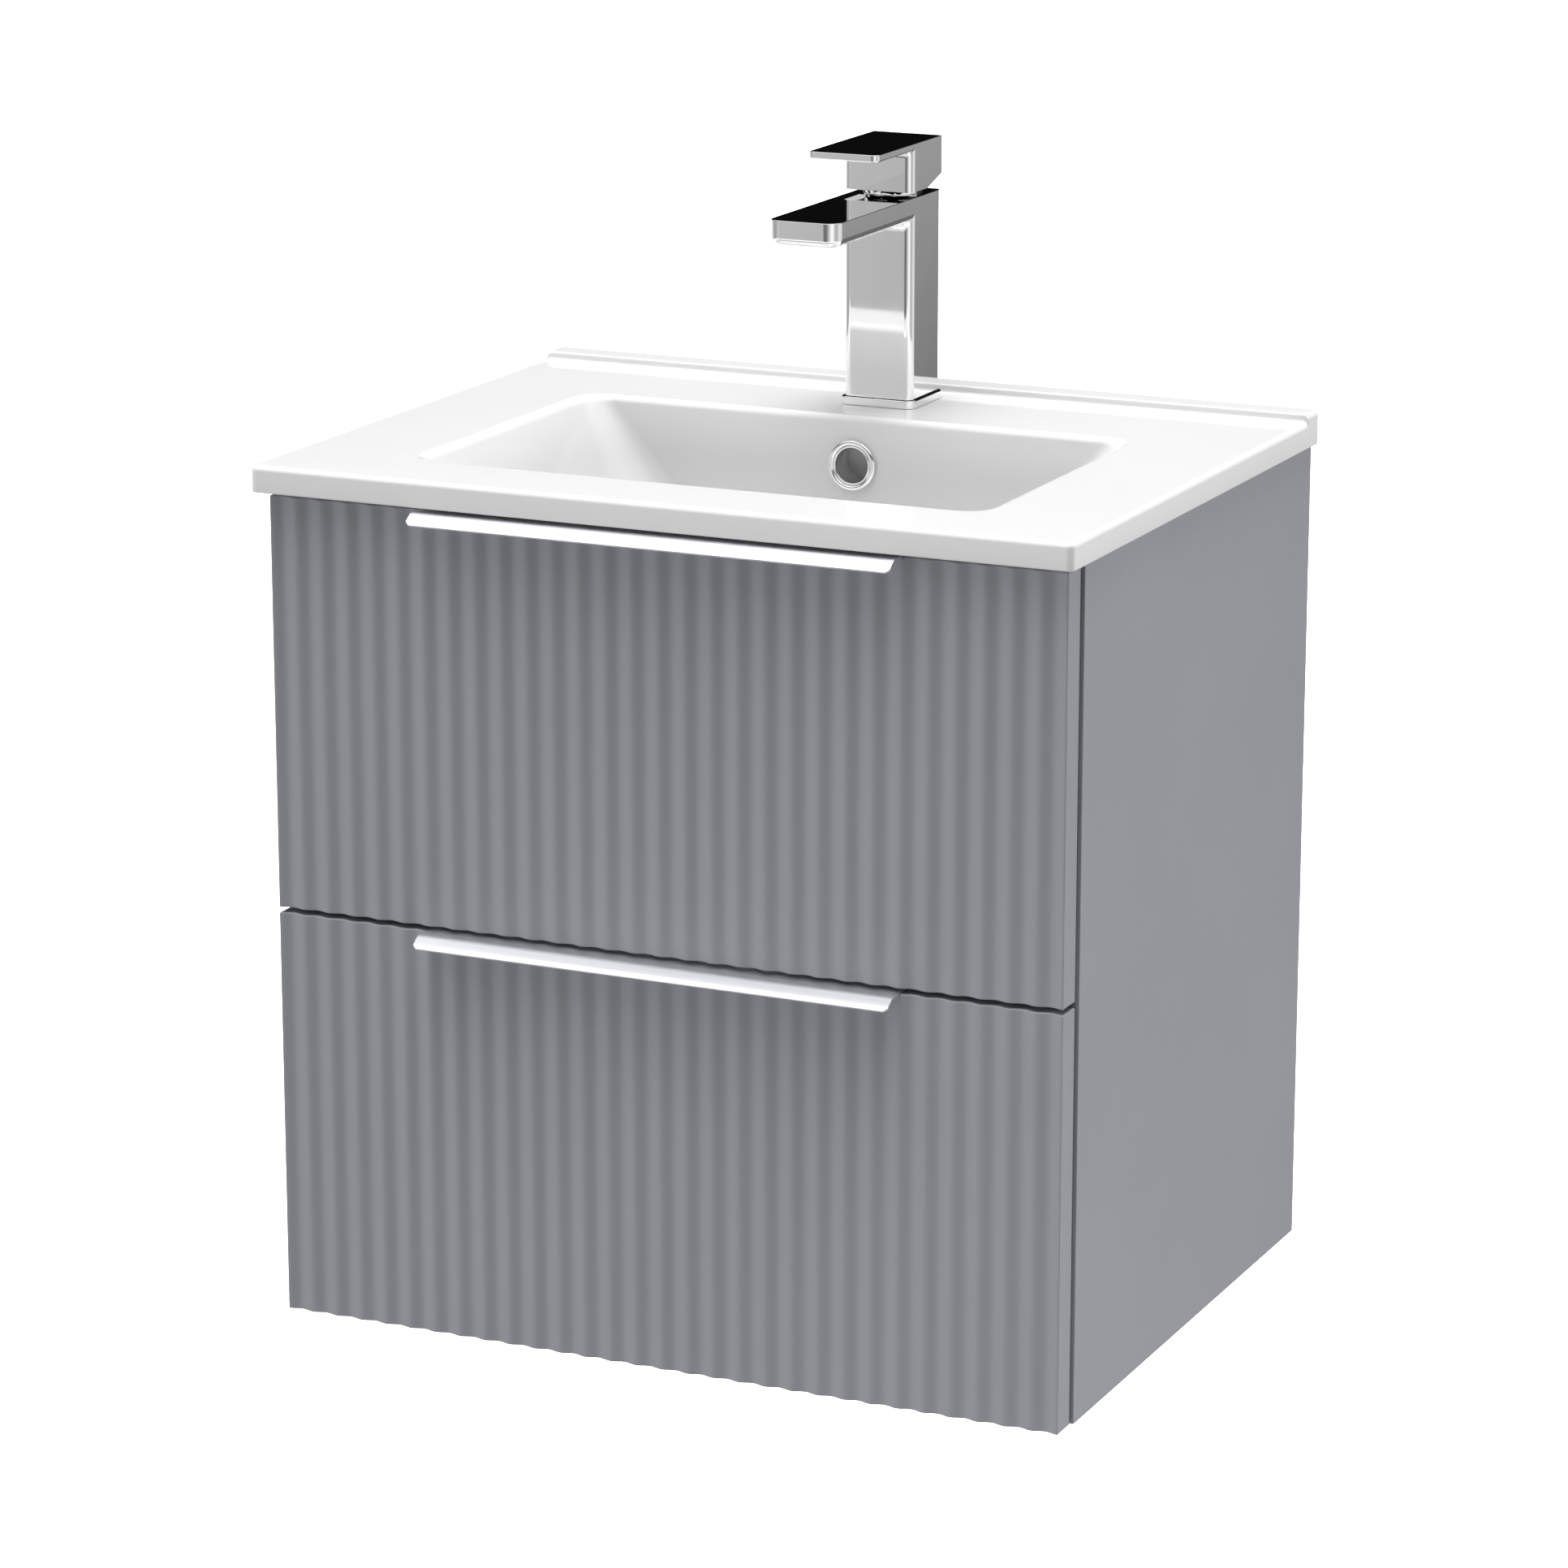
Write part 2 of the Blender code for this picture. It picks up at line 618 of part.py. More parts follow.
def make_tap_fixings():
    """What clamps the mixer to the basin: a stud, a gasket, a slotted clamp plate and a nut."""
    half = TAP_BASE / 2
    middle = (0, TAP_Y)
    plate = post(
        "tap_base_plate", (-half, TAP_Y - half, BASIN_T + GAP), (half, TAP_Y + half, TAP_BASE_TOP),
        0.0065, "chrome",
    )
    cut(plate, rod("plate_hole", middle, (0, 0.04), 0.0165, None))
    gasket = rod("tap_gasket", middle, (-0.0033, -GAP), 0.024, "rubber")
    clamp = rod("tap_clamp", middle, (-0.0060, -0.0036), 0.024, "brass")
    for ring in (gasket, clamp):
        slot = box("tail_slot", (-0.0145, TAP_Y - 0.03, -0.02), (0.0145, TAP_Y + 0.001, 0.01), None)
        cut(ring, slot, rod("stud_hole", (0, STUD_Y), (-0.02, 0.02), 0.0044, None))
    rod("tap_stud", (0, STUD_Y), (STUD_BOTTOM_Z, TAP_BASE_TOP), 0.0040, "brass", sides=16)
    hex_nut("tap_nut", (0, STUD_Y), (-0.0130, -0.0064), 0.0080, 0.0043, "brass")
    for name, side in SIDES:
        place = (side * INLET_X, INLET_Y)
        rod(f"tap_inlet_{name}", place, (INLET_BOTTOM_Z, TAP_BASE_TOP), 0.0055, "brass", sides=16)


def make_tap_body():
    """A square column with a flat spout; a bore in its top takes the cartridge."""
    half = COLUMN / 2
    bottom_z = TAP_BASE_TOP + GAP
    body = post(
        "tap_body", (-half, TAP_Y - half, bottom_z), (half, TAP_Y + half, TAP_TOP_Z), COLUMN_R, "chrome"
    )
    bm = cube_between((-half, SPOUT_FRONT_Y, TAP_TOP_Z - SPOUT_T), (half, TAP_Y, TAP_TOP_Z))
    nose = [e for e in upright_edges(bm) if e.verts[0].co.y < SPOUT_FRONT_Y + 1e-6]
    round_edges(bm, nose, SPOUT_R, 4)
    join(body, finish_object("spout", mesh_from(bm, "spout"), None))
    outlet = (0, AERATOR_Y)
    bore_z = (CARTRIDGE_Z[0] - GAP, TAP_TOP_Z + 0.001)
    recess_z = (AERATOR_Z[0] - 0.004, AERATOR_Z[1] + GAP)
    cut(
        body,
        rod("cartridge_bore", (0, TAP_Y), bore_z, CARTRIDGE_R + 0.0008, None, sides=32),
        rod("aerator_bore", outlet, recess_z, AERATOR_R + GAP, None),
    )
    aerator = rod("aerator", outlet, AERATOR_Z, AERATOR_R, "chrome")
    cut(aerator, rod("outlet", outlet, (recess_z[0], AERATOR_Z[0] + 0.0025), 0.0085, None))


def sphere_r(radius, z):
    """How wide a ball about the lever's pivot is at a level."""
    return math.sqrt(radius**2 - (z - PIVOT_Z) ** 2)


def make_cartridge():
    """Cartridge housing with a turning rotor, held down by a domed collar that the lever rides over."""
    bottom_z, top_z = CARTRIDGE_Z
    floor_z = bottom_z + CUP_FLOOR_T
    turned(
        "cartridge_housing",
        [
            (0, bottom_z), (CARTRIDGE_R, bottom_z), (CARTRIDGE_R, top_z), (CUP_R, top_z),
            (CUP_R, floor_z), (0, floor_z),
        ],
        (0, TAP_Y, 0), "cartridge_plastic",
    )
    inner_r = DOME_R - 0.002
    levels = (0.1440, 0.1457, 0.1474, 0.1490)
    dome = [(0.0150, 0.1390), (0.0178, 0.1390)]
    dome += [(sphere_r(DOME_R, z), z) for z in levels]
    dome += [(sphere_r(inner_r, z), z) for z in reversed(levels)]
    turned("dome_collar", dome, (0, TAP_Y, 0), "chrome", sides=32)
    rotor = rod("cartridge_rotor", (0, TAP_Y), (0.1155, 0.1375), CUP_R - 0.0008, "cartridge_plastic")
    slot_x = STEM_R + 0.0007
    cut(
        rotor,
        box("stem_slot", (-slot_x, TAP_Y - 0.02, 0.1225), (slot_x, TAP_Y + 0.02, 0.15), None),
        disc("pin_hole", (0, TAP_Y, PIVOT_Z), STEM_PIN_R + GAP, 0.024, None, axis="X", sides=16),
    )
    return rotor


def make_lever():
    """The lever's block and flat plate are one casting, hollowed by a ball about the pivot."""
    half = COLUMN / 2
    low_z, top_z = LEVER_Z
    back_y, face_y = TAP_Y + half, TAP_Y - half
    forward, up = LEVER_BACK_CUT
    under_z = top_z - LEVER_PLATE_T
    outline = [
        (back_y, top_z), (LEVER_FRONT_Y, top_z), (LEVER_FRONT_Y, under_z), (face_y - 0.003, under_z),
        (face_y, under_z - 0.003), (face_y, low_z), (back_y - forward, low_z), (back_y, low_z + up),
    ]
    pivot = (0, TAP_Y, PIVOT_Z)
    lever = extrusion("tap_lever", outline, -half, COLUMN, "X", "chrome", origin=pivot)
    bm = bmesh.new()
    bmesh.ops.create_uvsphere(
        bm, u_segments=24, v_segments=12, radius=DOME_R + 0.0009, matrix=Matrix.Translation(pivot)
    )
    ball = finish_object("ball_hollow", mesh_from(bm, "ball_hollow"), None)
    cut(lever, ball, rod("stem_socket", (0, TAP_Y), (0.150, 0.166), STEM_R + GAP, None, sides=16))
    stem = rod("tap_stem", (0, TAP_Y), (0.126, 0.1646), STEM_R, "brass", sides=16, origin=pivot)
    join(stem, disc("stem_pin", pivot, STEM_PIN_R, 0.022, None, axis="X", sides=16))
    return lever, stem


def make_tap():
    make_tap_fixings()
    make_tap_body()
    swivel = axis_empty("swivel_axis", (0, TAP_Y, PIVOT_Z))
    lift = axis_empty("lift_axis", (0, TAP_Y, PIVOT_Z))
    carry(swivel, make_cartridge())
    carry(lift, *make_lever())
    lift.parent = swivel
    lift.matrix_parent_inverse = Matrix.Translation(-swivel.location)


make_cabinet()
make_wall_hangers()
make_drawer("upper", UPPER_TOP_Z, UPPER_RUNNER_Z, make_upper_box)
make_drawer("lower", LOWER_TOP_Z, LOWER_RUNNER_Z, make_lower_box)
make_basin()
make_overflow_ring()
make_waste()
make_tap()
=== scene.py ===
"""Wall-hung bathroom vanity: a fluted two-drawer cabinet, a ceramic basin and a square basin mixer.

Metres, +Z up. The wall is the plane Y = 0, the drawers open towards -Y, and Z = 0 is the cabinet's top.
"""
import json
import math

import bmesh
import bpy
from mathutils import Matrix, Vector

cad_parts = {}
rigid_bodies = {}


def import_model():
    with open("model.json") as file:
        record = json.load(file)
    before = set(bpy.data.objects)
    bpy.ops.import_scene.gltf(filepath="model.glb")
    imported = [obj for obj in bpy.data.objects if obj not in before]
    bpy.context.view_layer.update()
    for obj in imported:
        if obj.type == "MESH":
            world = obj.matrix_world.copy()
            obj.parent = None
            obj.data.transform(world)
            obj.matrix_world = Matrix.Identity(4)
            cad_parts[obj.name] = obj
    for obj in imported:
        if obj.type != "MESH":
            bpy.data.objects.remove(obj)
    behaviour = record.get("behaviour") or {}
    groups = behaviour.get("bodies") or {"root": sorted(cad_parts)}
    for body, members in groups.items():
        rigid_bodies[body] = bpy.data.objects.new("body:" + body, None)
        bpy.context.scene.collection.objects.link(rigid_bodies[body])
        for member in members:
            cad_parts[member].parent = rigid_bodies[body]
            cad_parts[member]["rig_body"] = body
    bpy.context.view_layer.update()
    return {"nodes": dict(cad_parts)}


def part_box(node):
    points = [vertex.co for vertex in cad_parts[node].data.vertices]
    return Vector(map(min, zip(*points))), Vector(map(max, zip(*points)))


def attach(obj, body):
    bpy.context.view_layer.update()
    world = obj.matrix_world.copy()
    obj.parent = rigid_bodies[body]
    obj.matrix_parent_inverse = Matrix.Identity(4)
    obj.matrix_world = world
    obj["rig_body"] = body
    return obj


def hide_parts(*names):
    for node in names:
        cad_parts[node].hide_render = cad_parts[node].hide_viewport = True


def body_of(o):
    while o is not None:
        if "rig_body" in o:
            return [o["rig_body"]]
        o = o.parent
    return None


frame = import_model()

NODES = frame["nodes"]

# Fluted fronts
RIDGE_PITCH = 0.01655
RIDGE_DEPTH = 0.0021
COLUMNS_PER_RIDGE = 14
FRONT_EDGE_R = 0.0009
REBATE_DEPTH = 0.001  # let into the front's top edge, so that the handle lies flush
REBATE_GAP = 0.0003  # beyond the handle at each end
REBATE_STEP = 0.00005  # the width of the rebate's end wall

# Handles, bent from one strip: how far each bend lies in front of the ridges, and its drop
STRIP_T = 0.0015
PLATE_REACH = 0.0103
SLOPE_REACH = 0.0159
SLOPE_DROP = 0.0038
LIP_DROP = 0.0062
LIP_CHAMFER = 0.0024
FLANGE_BEND_R = 0.0020
PLATE_BEND_R = 0.0016
SLOPE_BEND_R = 0.0008
STRIP_EDGE_R = 0.00018

# Basin
DECK_Z = 0.016
UPSTAND_D = 0.021
UPSTAND_FOOT_R = 0.0022
UPSTAND_EDGE_R = 0.0012
HAIR = 0.00003  # how far the upstand's front leans, so that its foot and its edge stay apart
BASIN_CORNER_R = 0.0045
BASIN_EDGE_R = 0.0033
BASIN_FOOT_R = 0.0010
BOWL_TOP = Vector((0.178, -0.339, -0.115))  # half width, front and back where the walls meet the deck
BOWL_FLOOR = Vector((0.108, -0.312, -0.120))
BOWL_FLOOR_Z = -0.095
BOWL_RIM_R = 0.0042
BOWL_CORNER_R = (0.015, 0.046)  # at the deck and at the floor
BOWL_FLOOR_R = 0.030
BOWL_WALL = 0.009
BOWL_UNDER_Z = -0.108
BOWL_UNDER_CORNER_R = (0.024, 0.050)
BOWL_UNDER_FLOOR_R = 0.034
CORNER_STEPS = 10
WASTE_Y = -0.226
WASTE_HOLE_R = 0.0225
WASTE_SEAT_R = 0.0300
WASTE_BOSS_R = 0.0340
OVERFLOW_Y = -0.114
OVERFLOW_Z = -0.014
OVERFLOW_R = 0.0120
DUCT_LOW = (-0.024, -0.109, BOWL_UNDER_Z + 0.004)
DUCT_HIGH = (0.024, -0.092, 0.001)
DUCT_R = 0.006
TAP_HOLE_R = 0.0175

# Mixer
COLUMN = 0.045
COLUMN_R = 0.0050
SPOUT_T = 0.015
SPOUT_NOSE_R = 0.0088
SPOUT_UNDER_R = 0.0054
CRISP_R = 0.0004
PLATE_CORNER_R = 0.0065
PLATE_EDGE_R = 0.0007
PLATE_HOLE_R = 0.0165
CARTRIDGE_BORE_R = 0.0182
CARTRIDGE_BORE_DEPTH = 0.0538
BORE_OVERSHOOT = 0.0005
OUTLET_R = 0.0118
OUTLET_SETBACK = 0.0115
OUTLET_DEPTH = 0.0067
PIVOT_Z = 0.134
DOME_R = 0.0205
DOME_T = 0.002
DOME_BORE_R = 0.0150
DOME_FOOT_R = 0.0178
DOME_FOOT_Z = 0.1440
DOME_LIP_Z = 0.1489
DOME_RISE = 0.0046
DOME_STEPS = 8
DOME_CLEARANCE = 0.0009
LEVER_PLATE_T = 0.0045
LEVER_BACK_CUT = (0.022, 0.0066)
LEVER_NOSE_R = 0.0040
LEVER_PLATE_FOOT_R = 0.0012
LEVER_INNER_R = 0.0040
LEVER_BLOCK_R = 0.0048
LEVER_BACK_R = 0.0006

# Studio
FLOOR_Z = -0.85
CAMERA_PLACE = (1.33464, -3.10455, 0.64539)
CAMERA_TURN = math.radians(24.79)
CAMERA_DIP = math.radians(14.68)
CAMERA_LENS = 127.22
LOW_CARD_PLACE = Vector((0.75, -1.05, -0.78))
LOW_CARD_AIM = Vector((0, -0.385, -0.42))
LOW_CARD_SIZE = (2.2, 0.35)
LOW_CARD_POWER = 3.0
STRAY_LIGHT = 0.02
GAP_GLOW = 0.004
UPPER_WALL_GLOW = 0.03
UPPER_WALL_SHARE = 0.85
CEILING_GLOW = 1.1


# Finishes


def new_finish(name, colour, roughness, metallic=0.0):
    material = bpy.data.materials.new(name)
    material.use_nodes = True
    shader = material.node_tree.nodes["Principled BSDF"]
    shader.inputs["Base Color"].default_value = (*colour, 1)
    shader.inputs["Roughness"].default_value = roughness
    shader.inputs["Metallic"].default_value = metallic
    return material


def add(material, kind, **settings):
    """A node with its settings; a setting that names an input sets that input."""
    node = material.node_tree.nodes.new(kind)
    for key, value in settings.items():
        if key in node.inputs:
            node.inputs[key].default_value = value
        else:
            setattr(node, key, value)
    return node


def wire(material, source, target):
    material.node_tree.links.new(source, target)


def shader_of(material):
    return material.node_tree.nodes["Principled BSDF"]


def place_on(material, stretch=(1, 1, 1)):
    """The piece's own coordinates in metres, stretched along its axes."""
    coords = add(material, "ShaderNodeTexCoord")
    mapping = add(material, "ShaderNodeMapping", Scale=stretch)
    wire(material, coords.outputs["Object"], mapping.inputs["Vector"])
    return mapping.outputs["Vector"]


def speckle(material, scale, detail=2.0, stretch=(1, 1, 1)):
    noise = add(material, "ShaderNodeTexNoise", Scale=scale, Detail=detail)
    wire(material, place_on(material, stretch), noise.inputs["Vector"])
    return noise.outputs["Fac"]


def vary_colour(material, pattern, dark, light, low=0.35, high=0.65):
    ramp = add(material, "ShaderNodeValToRGB")
    ramp.color_ramp.elements[0].position = low
    ramp.color_ramp.elements[0].color = (*dark, 1)
    ramp.color_ramp.elements[1].position = high
    ramp.color_ramp.elements[1].color = (*light, 1)
    wire(material, pattern, ramp.inputs["Fac"])
    wire(material, ramp.outputs["Color"], shader_of(material).inputs["Base Color"])


def vary_roughness(material, pattern, low, high):
    spread = add(material, "ShaderNodeMapRange")
    spread.inputs["From Min"].default_value = 0.3
    spread.inputs["From Max"].default_value = 0.7
    spread.inputs["To Min"].default_value = low
    spread.inputs["To Max"].default_value = high
    wire(material, pattern, spread.inputs["Value"])
    wire(material, spread.outputs["Result"], shader_of(material).inputs["Roughness"])


def emboss(material, pattern, distance, strength=1.0):
    bump = add(material, "ShaderNodeBump", Strength=strength, Distance=distance)
    wire(material, pattern, bump.inputs["Height"])
    wire(material, bump.outputs["Normal"], shader_of(material).inputs["Normal"])


def grey_lacquer():
    """Satin sprayed lacquer with a trace of orange peel."""
    finish = new_finish("grey_lacquer", (0.34, 0.35, 0.38), 0.36)
    shader_of(finish).inputs["Specular IOR Level"].default_value = 0.3
    vary_colour(finish, speckle(finish, 9, 3), (0.298, 0.305, 0.333), (0.308, 0.315, 0.343))
    vary_roughness(finish, speckle(finish, 60, 3), 0.33, 0.39)
    emboss(finish, speckle(finish, 850, 2), 0.00003, 0.35)
    return finish


def white_board():
    """Melamine face with a faint pore texture."""
    finish = new_finish("white_board", (0.80, 0.80, 0.79), 0.45)
    vary_colour(finish, speckle(finish, 220, 6, (1, 0.12, 1)), (0.765, 0.765, 0.755), (0.80, 0.80, 0.79))
    vary_roughness(finish, speckle(finish, 120, 4), 0.38, 0.52)
    emboss(finish, speckle(finish, 1400, 3, (1, 0.15, 1)), 0.00002, 0.25)
    return finish


def ceramic():
    """Gloss glaze, very slightly uneven as it flowed in the kiln, with painted shade that makes it greyer
    down the bowl.
    """
    finish = new_finish("ceramic", (0.76, 0.76, 0.76), 0.09)
    shader = shader_of(finish)
    shader.inputs["Specular IOR Level"].default_value = 0.3
    vary_colour(finish, speckle(finish, 7, 2), (0.750, 0.751, 0.753), (0.765, 0.765, 0.765))
    glaze = shader.inputs["Base Color"].links[0].from_socket
    # Painted shade: the base colour is darkened by height alone, down to 0.85 towards the bottom of the
    # bowl.
    height = add(finish, "ShaderNodeSeparateXYZ")
    wire(finish, place_on(finish), height.inputs[0])
    depth = add(finish, "ShaderNodeMapRange", interpolation_type="SMOOTHSTEP")
    depth.inputs["From Min"].default_value = -0.020
    depth.inputs["From Max"].default_value = 0.013
    depth.inputs["To Min"].default_value = 0.85
    wire(finish, height.outputs["Z"], depth.inputs["Value"])
    painted_shade_tint = add(finish, "ShaderNodeVectorMath", operation="SCALE")
    wire(finish, glaze, painted_shade_tint.inputs[0])
    wire(finish, depth.outputs["Result"], painted_shade_tint.inputs["Scale"])
    wire(finish, painted_shade_tint.outputs[0], shader.inputs["Base Color"])
    vary_roughness(finish, speckle(finish, 30, 3), 0.07, 0.11)
    emboss(finish, speckle(finish, 38, 2), 0.00006, 0.25)
    return finish


def chrome():
    """Mirror chrome with faint wiping marks."""
    finish = new_finish("chrome", (0.90, 0.90, 0.91), 0.04, 1.0)
    vary_colour(finish, speckle(finish, 40, 3), (0.895, 0.897, 0.90), (0.915, 0.915, 0.92))
    vary_roughness(finish, speckle(finish, 90, 5, (1, 1, 0.3)), 0.025, 0.06)
    return finish


def handle_metal():
    """Satin strip, drawn lengthwise, so that its grain runs along the handle."""
    finish = new_finish("handle_metal", (0.90, 0.91, 0.94), 0.38, 1.0)
    grain = speckle(finish, 900, 3, (0.008, 1, 1))
    vary_colour(finish, grain, (0.90, 0.91, 0.95), (0.95, 0.96, 0.99))
    vary_roughness(finish, grain, 0.34, 0.43)
    emboss(finish, grain, 0.000006, 0.25)
    return finish


def zinc_steel():
    """Galvanised sheet with its spangle."""
    finish = new_finish("zinc_steel", (0.55, 0.56, 0.58), 0.35, 1.0)
    spangle = add(finish, "ShaderNodeTexVoronoi", Scale=190)
    wire(finish, place_on(finish), spangle.inputs["Vector"])
    vary_colour(finish, spangle.outputs["Color"], (0.46, 0.47, 0.49), (0.62, 0.63, 0.65), 0.1, 0.9)
    vary_roughness(finish, speckle(finish, 260, 4), 0.27, 0.42)
    emboss(finish, speckle(finish, 900, 3), 0.00002, 0.4)
    return finish


def brass():
    """Turned brass with fine tool lines round it."""
    finish = new_finish("brass", (0.78, 0.60, 0.30), 0.28, 1.0)
    lines = speckle(finish, 900, 2, (0.05, 0.05, 1))
    vary_colour(finish, speckle(finish, 120, 3), (0.70, 0.52, 0.24), (0.80, 0.62, 0.32))
    vary_roughness(finish, lines, 0.22, 0.36)
    emboss(finish, lines, 0.00004, 0.5)
    return finish


def rubber():
    finish = new_finish("rubber", (0.03, 0.03, 0.03), 0.8)
    vary_colour(finish, speckle(finish, 300, 4), (0.022, 0.022, 0.022), (0.040, 0.040, 0.040))
    vary_roughness(finish, speckle(finish, 700, 3), 0.7, 0.9)
    emboss(finish, speckle(finish, 1200, 3), 0.00005, 0.5)
    return finish


def cartridge_plastic():
    finish = new_finish("cartridge_plastic", (0.75, 0.76, 0.74), 0.45)
    vary_colour(finish, speckle(finish, 80, 2), (0.72, 0.73, 0.71), (0.77, 0.78, 0.76))
    vary_roughness(finish, speckle(finish, 500, 3), 0.38, 0.52)
    emboss(finish, speckle(finish, 1500, 2), 0.00002, 0.4)
    return finish


FINISHES = {
    make.__name__: make()
    for make in (
        grey_lacquer, white_board, ceramic, chrome, handle_metal, zinc_steel, brass, rubber,
        cartridge_plastic,
    )
}


# Shape tools


def block(low, high):
    low, high = Vector(low), Vector(high)
    bm = bmesh.new()
    bmesh.ops.create_cube(bm, size=1)
    bmesh.ops.scale(bm, vec=high - low, verts=bm.verts)
    bmesh.ops.translate(bm, vec=(low + high) / 2, verts=bm.verts)
    return bm


def near(value, target):
    return abs(value - target) < 1e-5


def edges_at(bm, axis, place):
    """Edges whose two ends both lie at one place along an axis."""
    along = "xyz".index(axis)
    return [e for e in bm.edges if all(near(v.co[along], place) for v in e.verts)]


def is_upright(edge):
    a, b = (v.co for v in edge.verts)
    return (a.xy - b.xy).length < 1e-6


def round_over(bm, edges, radius, segments=6):
    bmesh.ops.bevel(
        bm, geom=edges, offset=radius, segments=segments, profile=0.5, affect="EDGES",
        clamp_overlap=True, material=-1,
    )


def slice_at(bm, point, normal):
    """Cuts every face along a plane, and keeps both sides."""
    geom = bm.verts[:] + bm.edges[:] + bm.faces[:]
    bmesh.ops.bisect_plane(bm, geom=geom, plane_co=point, plane_no=normal, dist=1e-7)


def pull(bm, faces, shift):
    """Extrudes faces and moves the new end by a shift."""
    made = bmesh.ops.extrude_face_region(bm, geom=faces)
    ends = [v for v in made["geom"] if isinstance(v, bmesh.types.BMVert)]
    bmesh.ops.translate(bm, vec=shift, verts=ends)
    return ends


def slab_along_x(left, right, outline):
    """A (depth, height) outline made solid between two sides."""
    bm = bmesh.new()
    corners = [bm.verts.new((left, y, z)) for y, z in outline]
    edges = [bm.edges.new(pair) for pair in zip(corners, corners[1:] + corners[:1])]
    side = bmesh.ops.contextual_create(bm, geom=edges)["faces"]
    pull(bm, side, (right - left, 0, 0))
    close_up(bm)
    return bm


def mesh_of(bm, name):
    mesh = bpy.data.meshes.new(name)
    bm.to_mesh(mesh)
    bm.free()
    return mesh


def show(name, mesh, body, finish, nodes, crisp=36):
    """Puts a finished mesh in the scene, evenly shaded, in place of the CAD nodes it stands for."""
    mesh.materials.clear()
    mesh.materials.append(FINISHES[finish])
    mesh.shade_smooth()
    mesh.set_sharp_from_angle(angle=math.radians(crisp))
    piece = bpy.data.objects.new(name, mesh)
    bpy.context.scene.collection.objects.link(piece)
    shading = piece.modifiers.new("even_shading", "WEIGHTED_NORMAL")
    shading.keep_sharp = True
    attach(piece, body)
    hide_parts(*nodes)
    return piece


def close_up(bm):
    bmesh.ops.remove_doubles(bm, verts=bm.verts, dist=1e-6)
    bmesh.ops.recalc_face_normals(bm, faces=bm.faces)


def carved(name, bm, cutters):
    """A mesh with other meshes cut out of it."""
    close_up(bm)
    work = bpy.data.objects.new(name, mesh_of(bm, name))
    bpy.context.scene.collection.objects.link(work)
    tools = []
    for cutter in cutters:
        close_up(cutter)
        tool = bpy.data.objects.new("cutter", mesh_of(cutter, "cutter"))
        bpy.context.scene.collection.objects.link(tool)
        cut = work.modifiers.new("cut", "BOOLEAN")
        cut.operation = "DIFFERENCE"
        cut.solver = "EXACT"
        cut.object = tool
        tools.append(tool)
    graph = bpy.context.evaluated_depsgraph_get()
    mesh = bpy.data.meshes.new_from_object(work.evaluated_get(graph))
    mesh.name = name
    for thing in [work, *tools]:
        bpy.data.objects.remove(thing, do_unlink=True)
    return mesh


def drum(centre, radius, depth, axis="Z", sides=64):
    turn = {"Z": Matrix.Identity(4), "Y": Matrix.Rotation(math.pi / 2, 4, "X")}[axis]
    bm = bmesh.new()
    bmesh.ops.create_cone(
        bm, cap_ends=True, segments=sides, radius1=radius, radius2=radius, depth=depth,
        matrix=Matrix.Translation(centre) @ turn,
    )
    return bm


def lathe(profile, centre=(0, 0, 0), tilt=None, steps=72):
    """A closed (radius, height) profile spun about Z, then tilted and moved to its centre."""
    bm = bmesh.new()
    ring = [bm.verts.new((radius, 0, height)) for radius, height in profile]
    edges = [bm.edges.new(pair) for pair in zip(ring, ring[1:] + ring[:1])]
    bmesh.ops.spin(
        bm, geom=ring + edges, cent=(0, 0, 0), axis=(0, 0, 1), angle=2 * math.pi, steps=steps,
        use_merge=True,
    )
    place = Matrix.Translation(centre) @ (tilt or Matrix.Identity(4))
    bmesh.ops.transform(bm, matrix=place, verts=bm.verts)
    close_up(bm)
    return bm


def arc(centre, radii, start, end, steps=6):
    """Points on a quarter or so of an ellipse, between two angles in degrees."""
    angles = [math.radians(start + (end - start) * i / steps) for i in range(steps + 1)]
    return [(centre[0] + radii[0] * math.cos(a), centre[1] + radii[1] * math.sin(a)) for a in angles]


# Fluted drawer fronts


def ridge_y(x, crest_y):
    return crest_y + RIDGE_DEPTH * (1 - math.cos(2 * math.pi * x / RIDGE_PITCH)) / 2


def fluted_slab(low, high):
    """A board whose front face waves from ridge to valley across its width."""
    ridges = round((high.x - low.x) / RIDGE_PITCH)
    bm = bmesh.new()
    bmesh.ops.create_grid(bm, x_segments=ridges * COLUMNS_PER_RIDGE, y_segments=1, size=1)
    for vertex in bm.verts:
        x = vertex.co.x * high.x
        z = low.z if vertex.co.y < 0 else high.z
        vertex.co = (x, ridge_y(x, low.y), z)
    back = pull(bm, bm.faces[:], (0, 0, 0))
    for vertex in back:
        vertex.co.y = high.y
    close_up(bm)
    return bm


def sink_rebate(bm, half_length, top_z):
    """Lowers the top edge along the middle of the front, where the handle's flange lies."""
    for x in (half_length, half_length + REBATE_STEP):
        for side in (-1, 1):
            slice_at(bm, (side * x, 0, 0), (1, 0, 0))
    for vertex in bm.verts:
        within = abs(vertex.co.x) < half_length + REBATE_STEP / 2
        if within and vertex.co.z > top_z - 1.2 * FRONT_EDGE_R:
            vertex.co.z -= REBATE_DEPTH


def make_front(level):
    node = f"{level}_drawer_front"
    low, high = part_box(node)
    bm = fluted_slab(low, high)
    rim = [e for e in bm.edges if e.is_manifold and e.calc_face_angle() > math.radians(60)]
    round_over(bm, rim, FRONT_EDGE_R, 3)
    sink_rebate(bm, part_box(f"{level}_handle")[1].x + REBATE_GAP, high.z)
    close_up(bm)
    show(f"{level}_fluted_front", mesh_of(bm, node), f"{level}_drawer", "grey_lacquer", [node])


# Handles


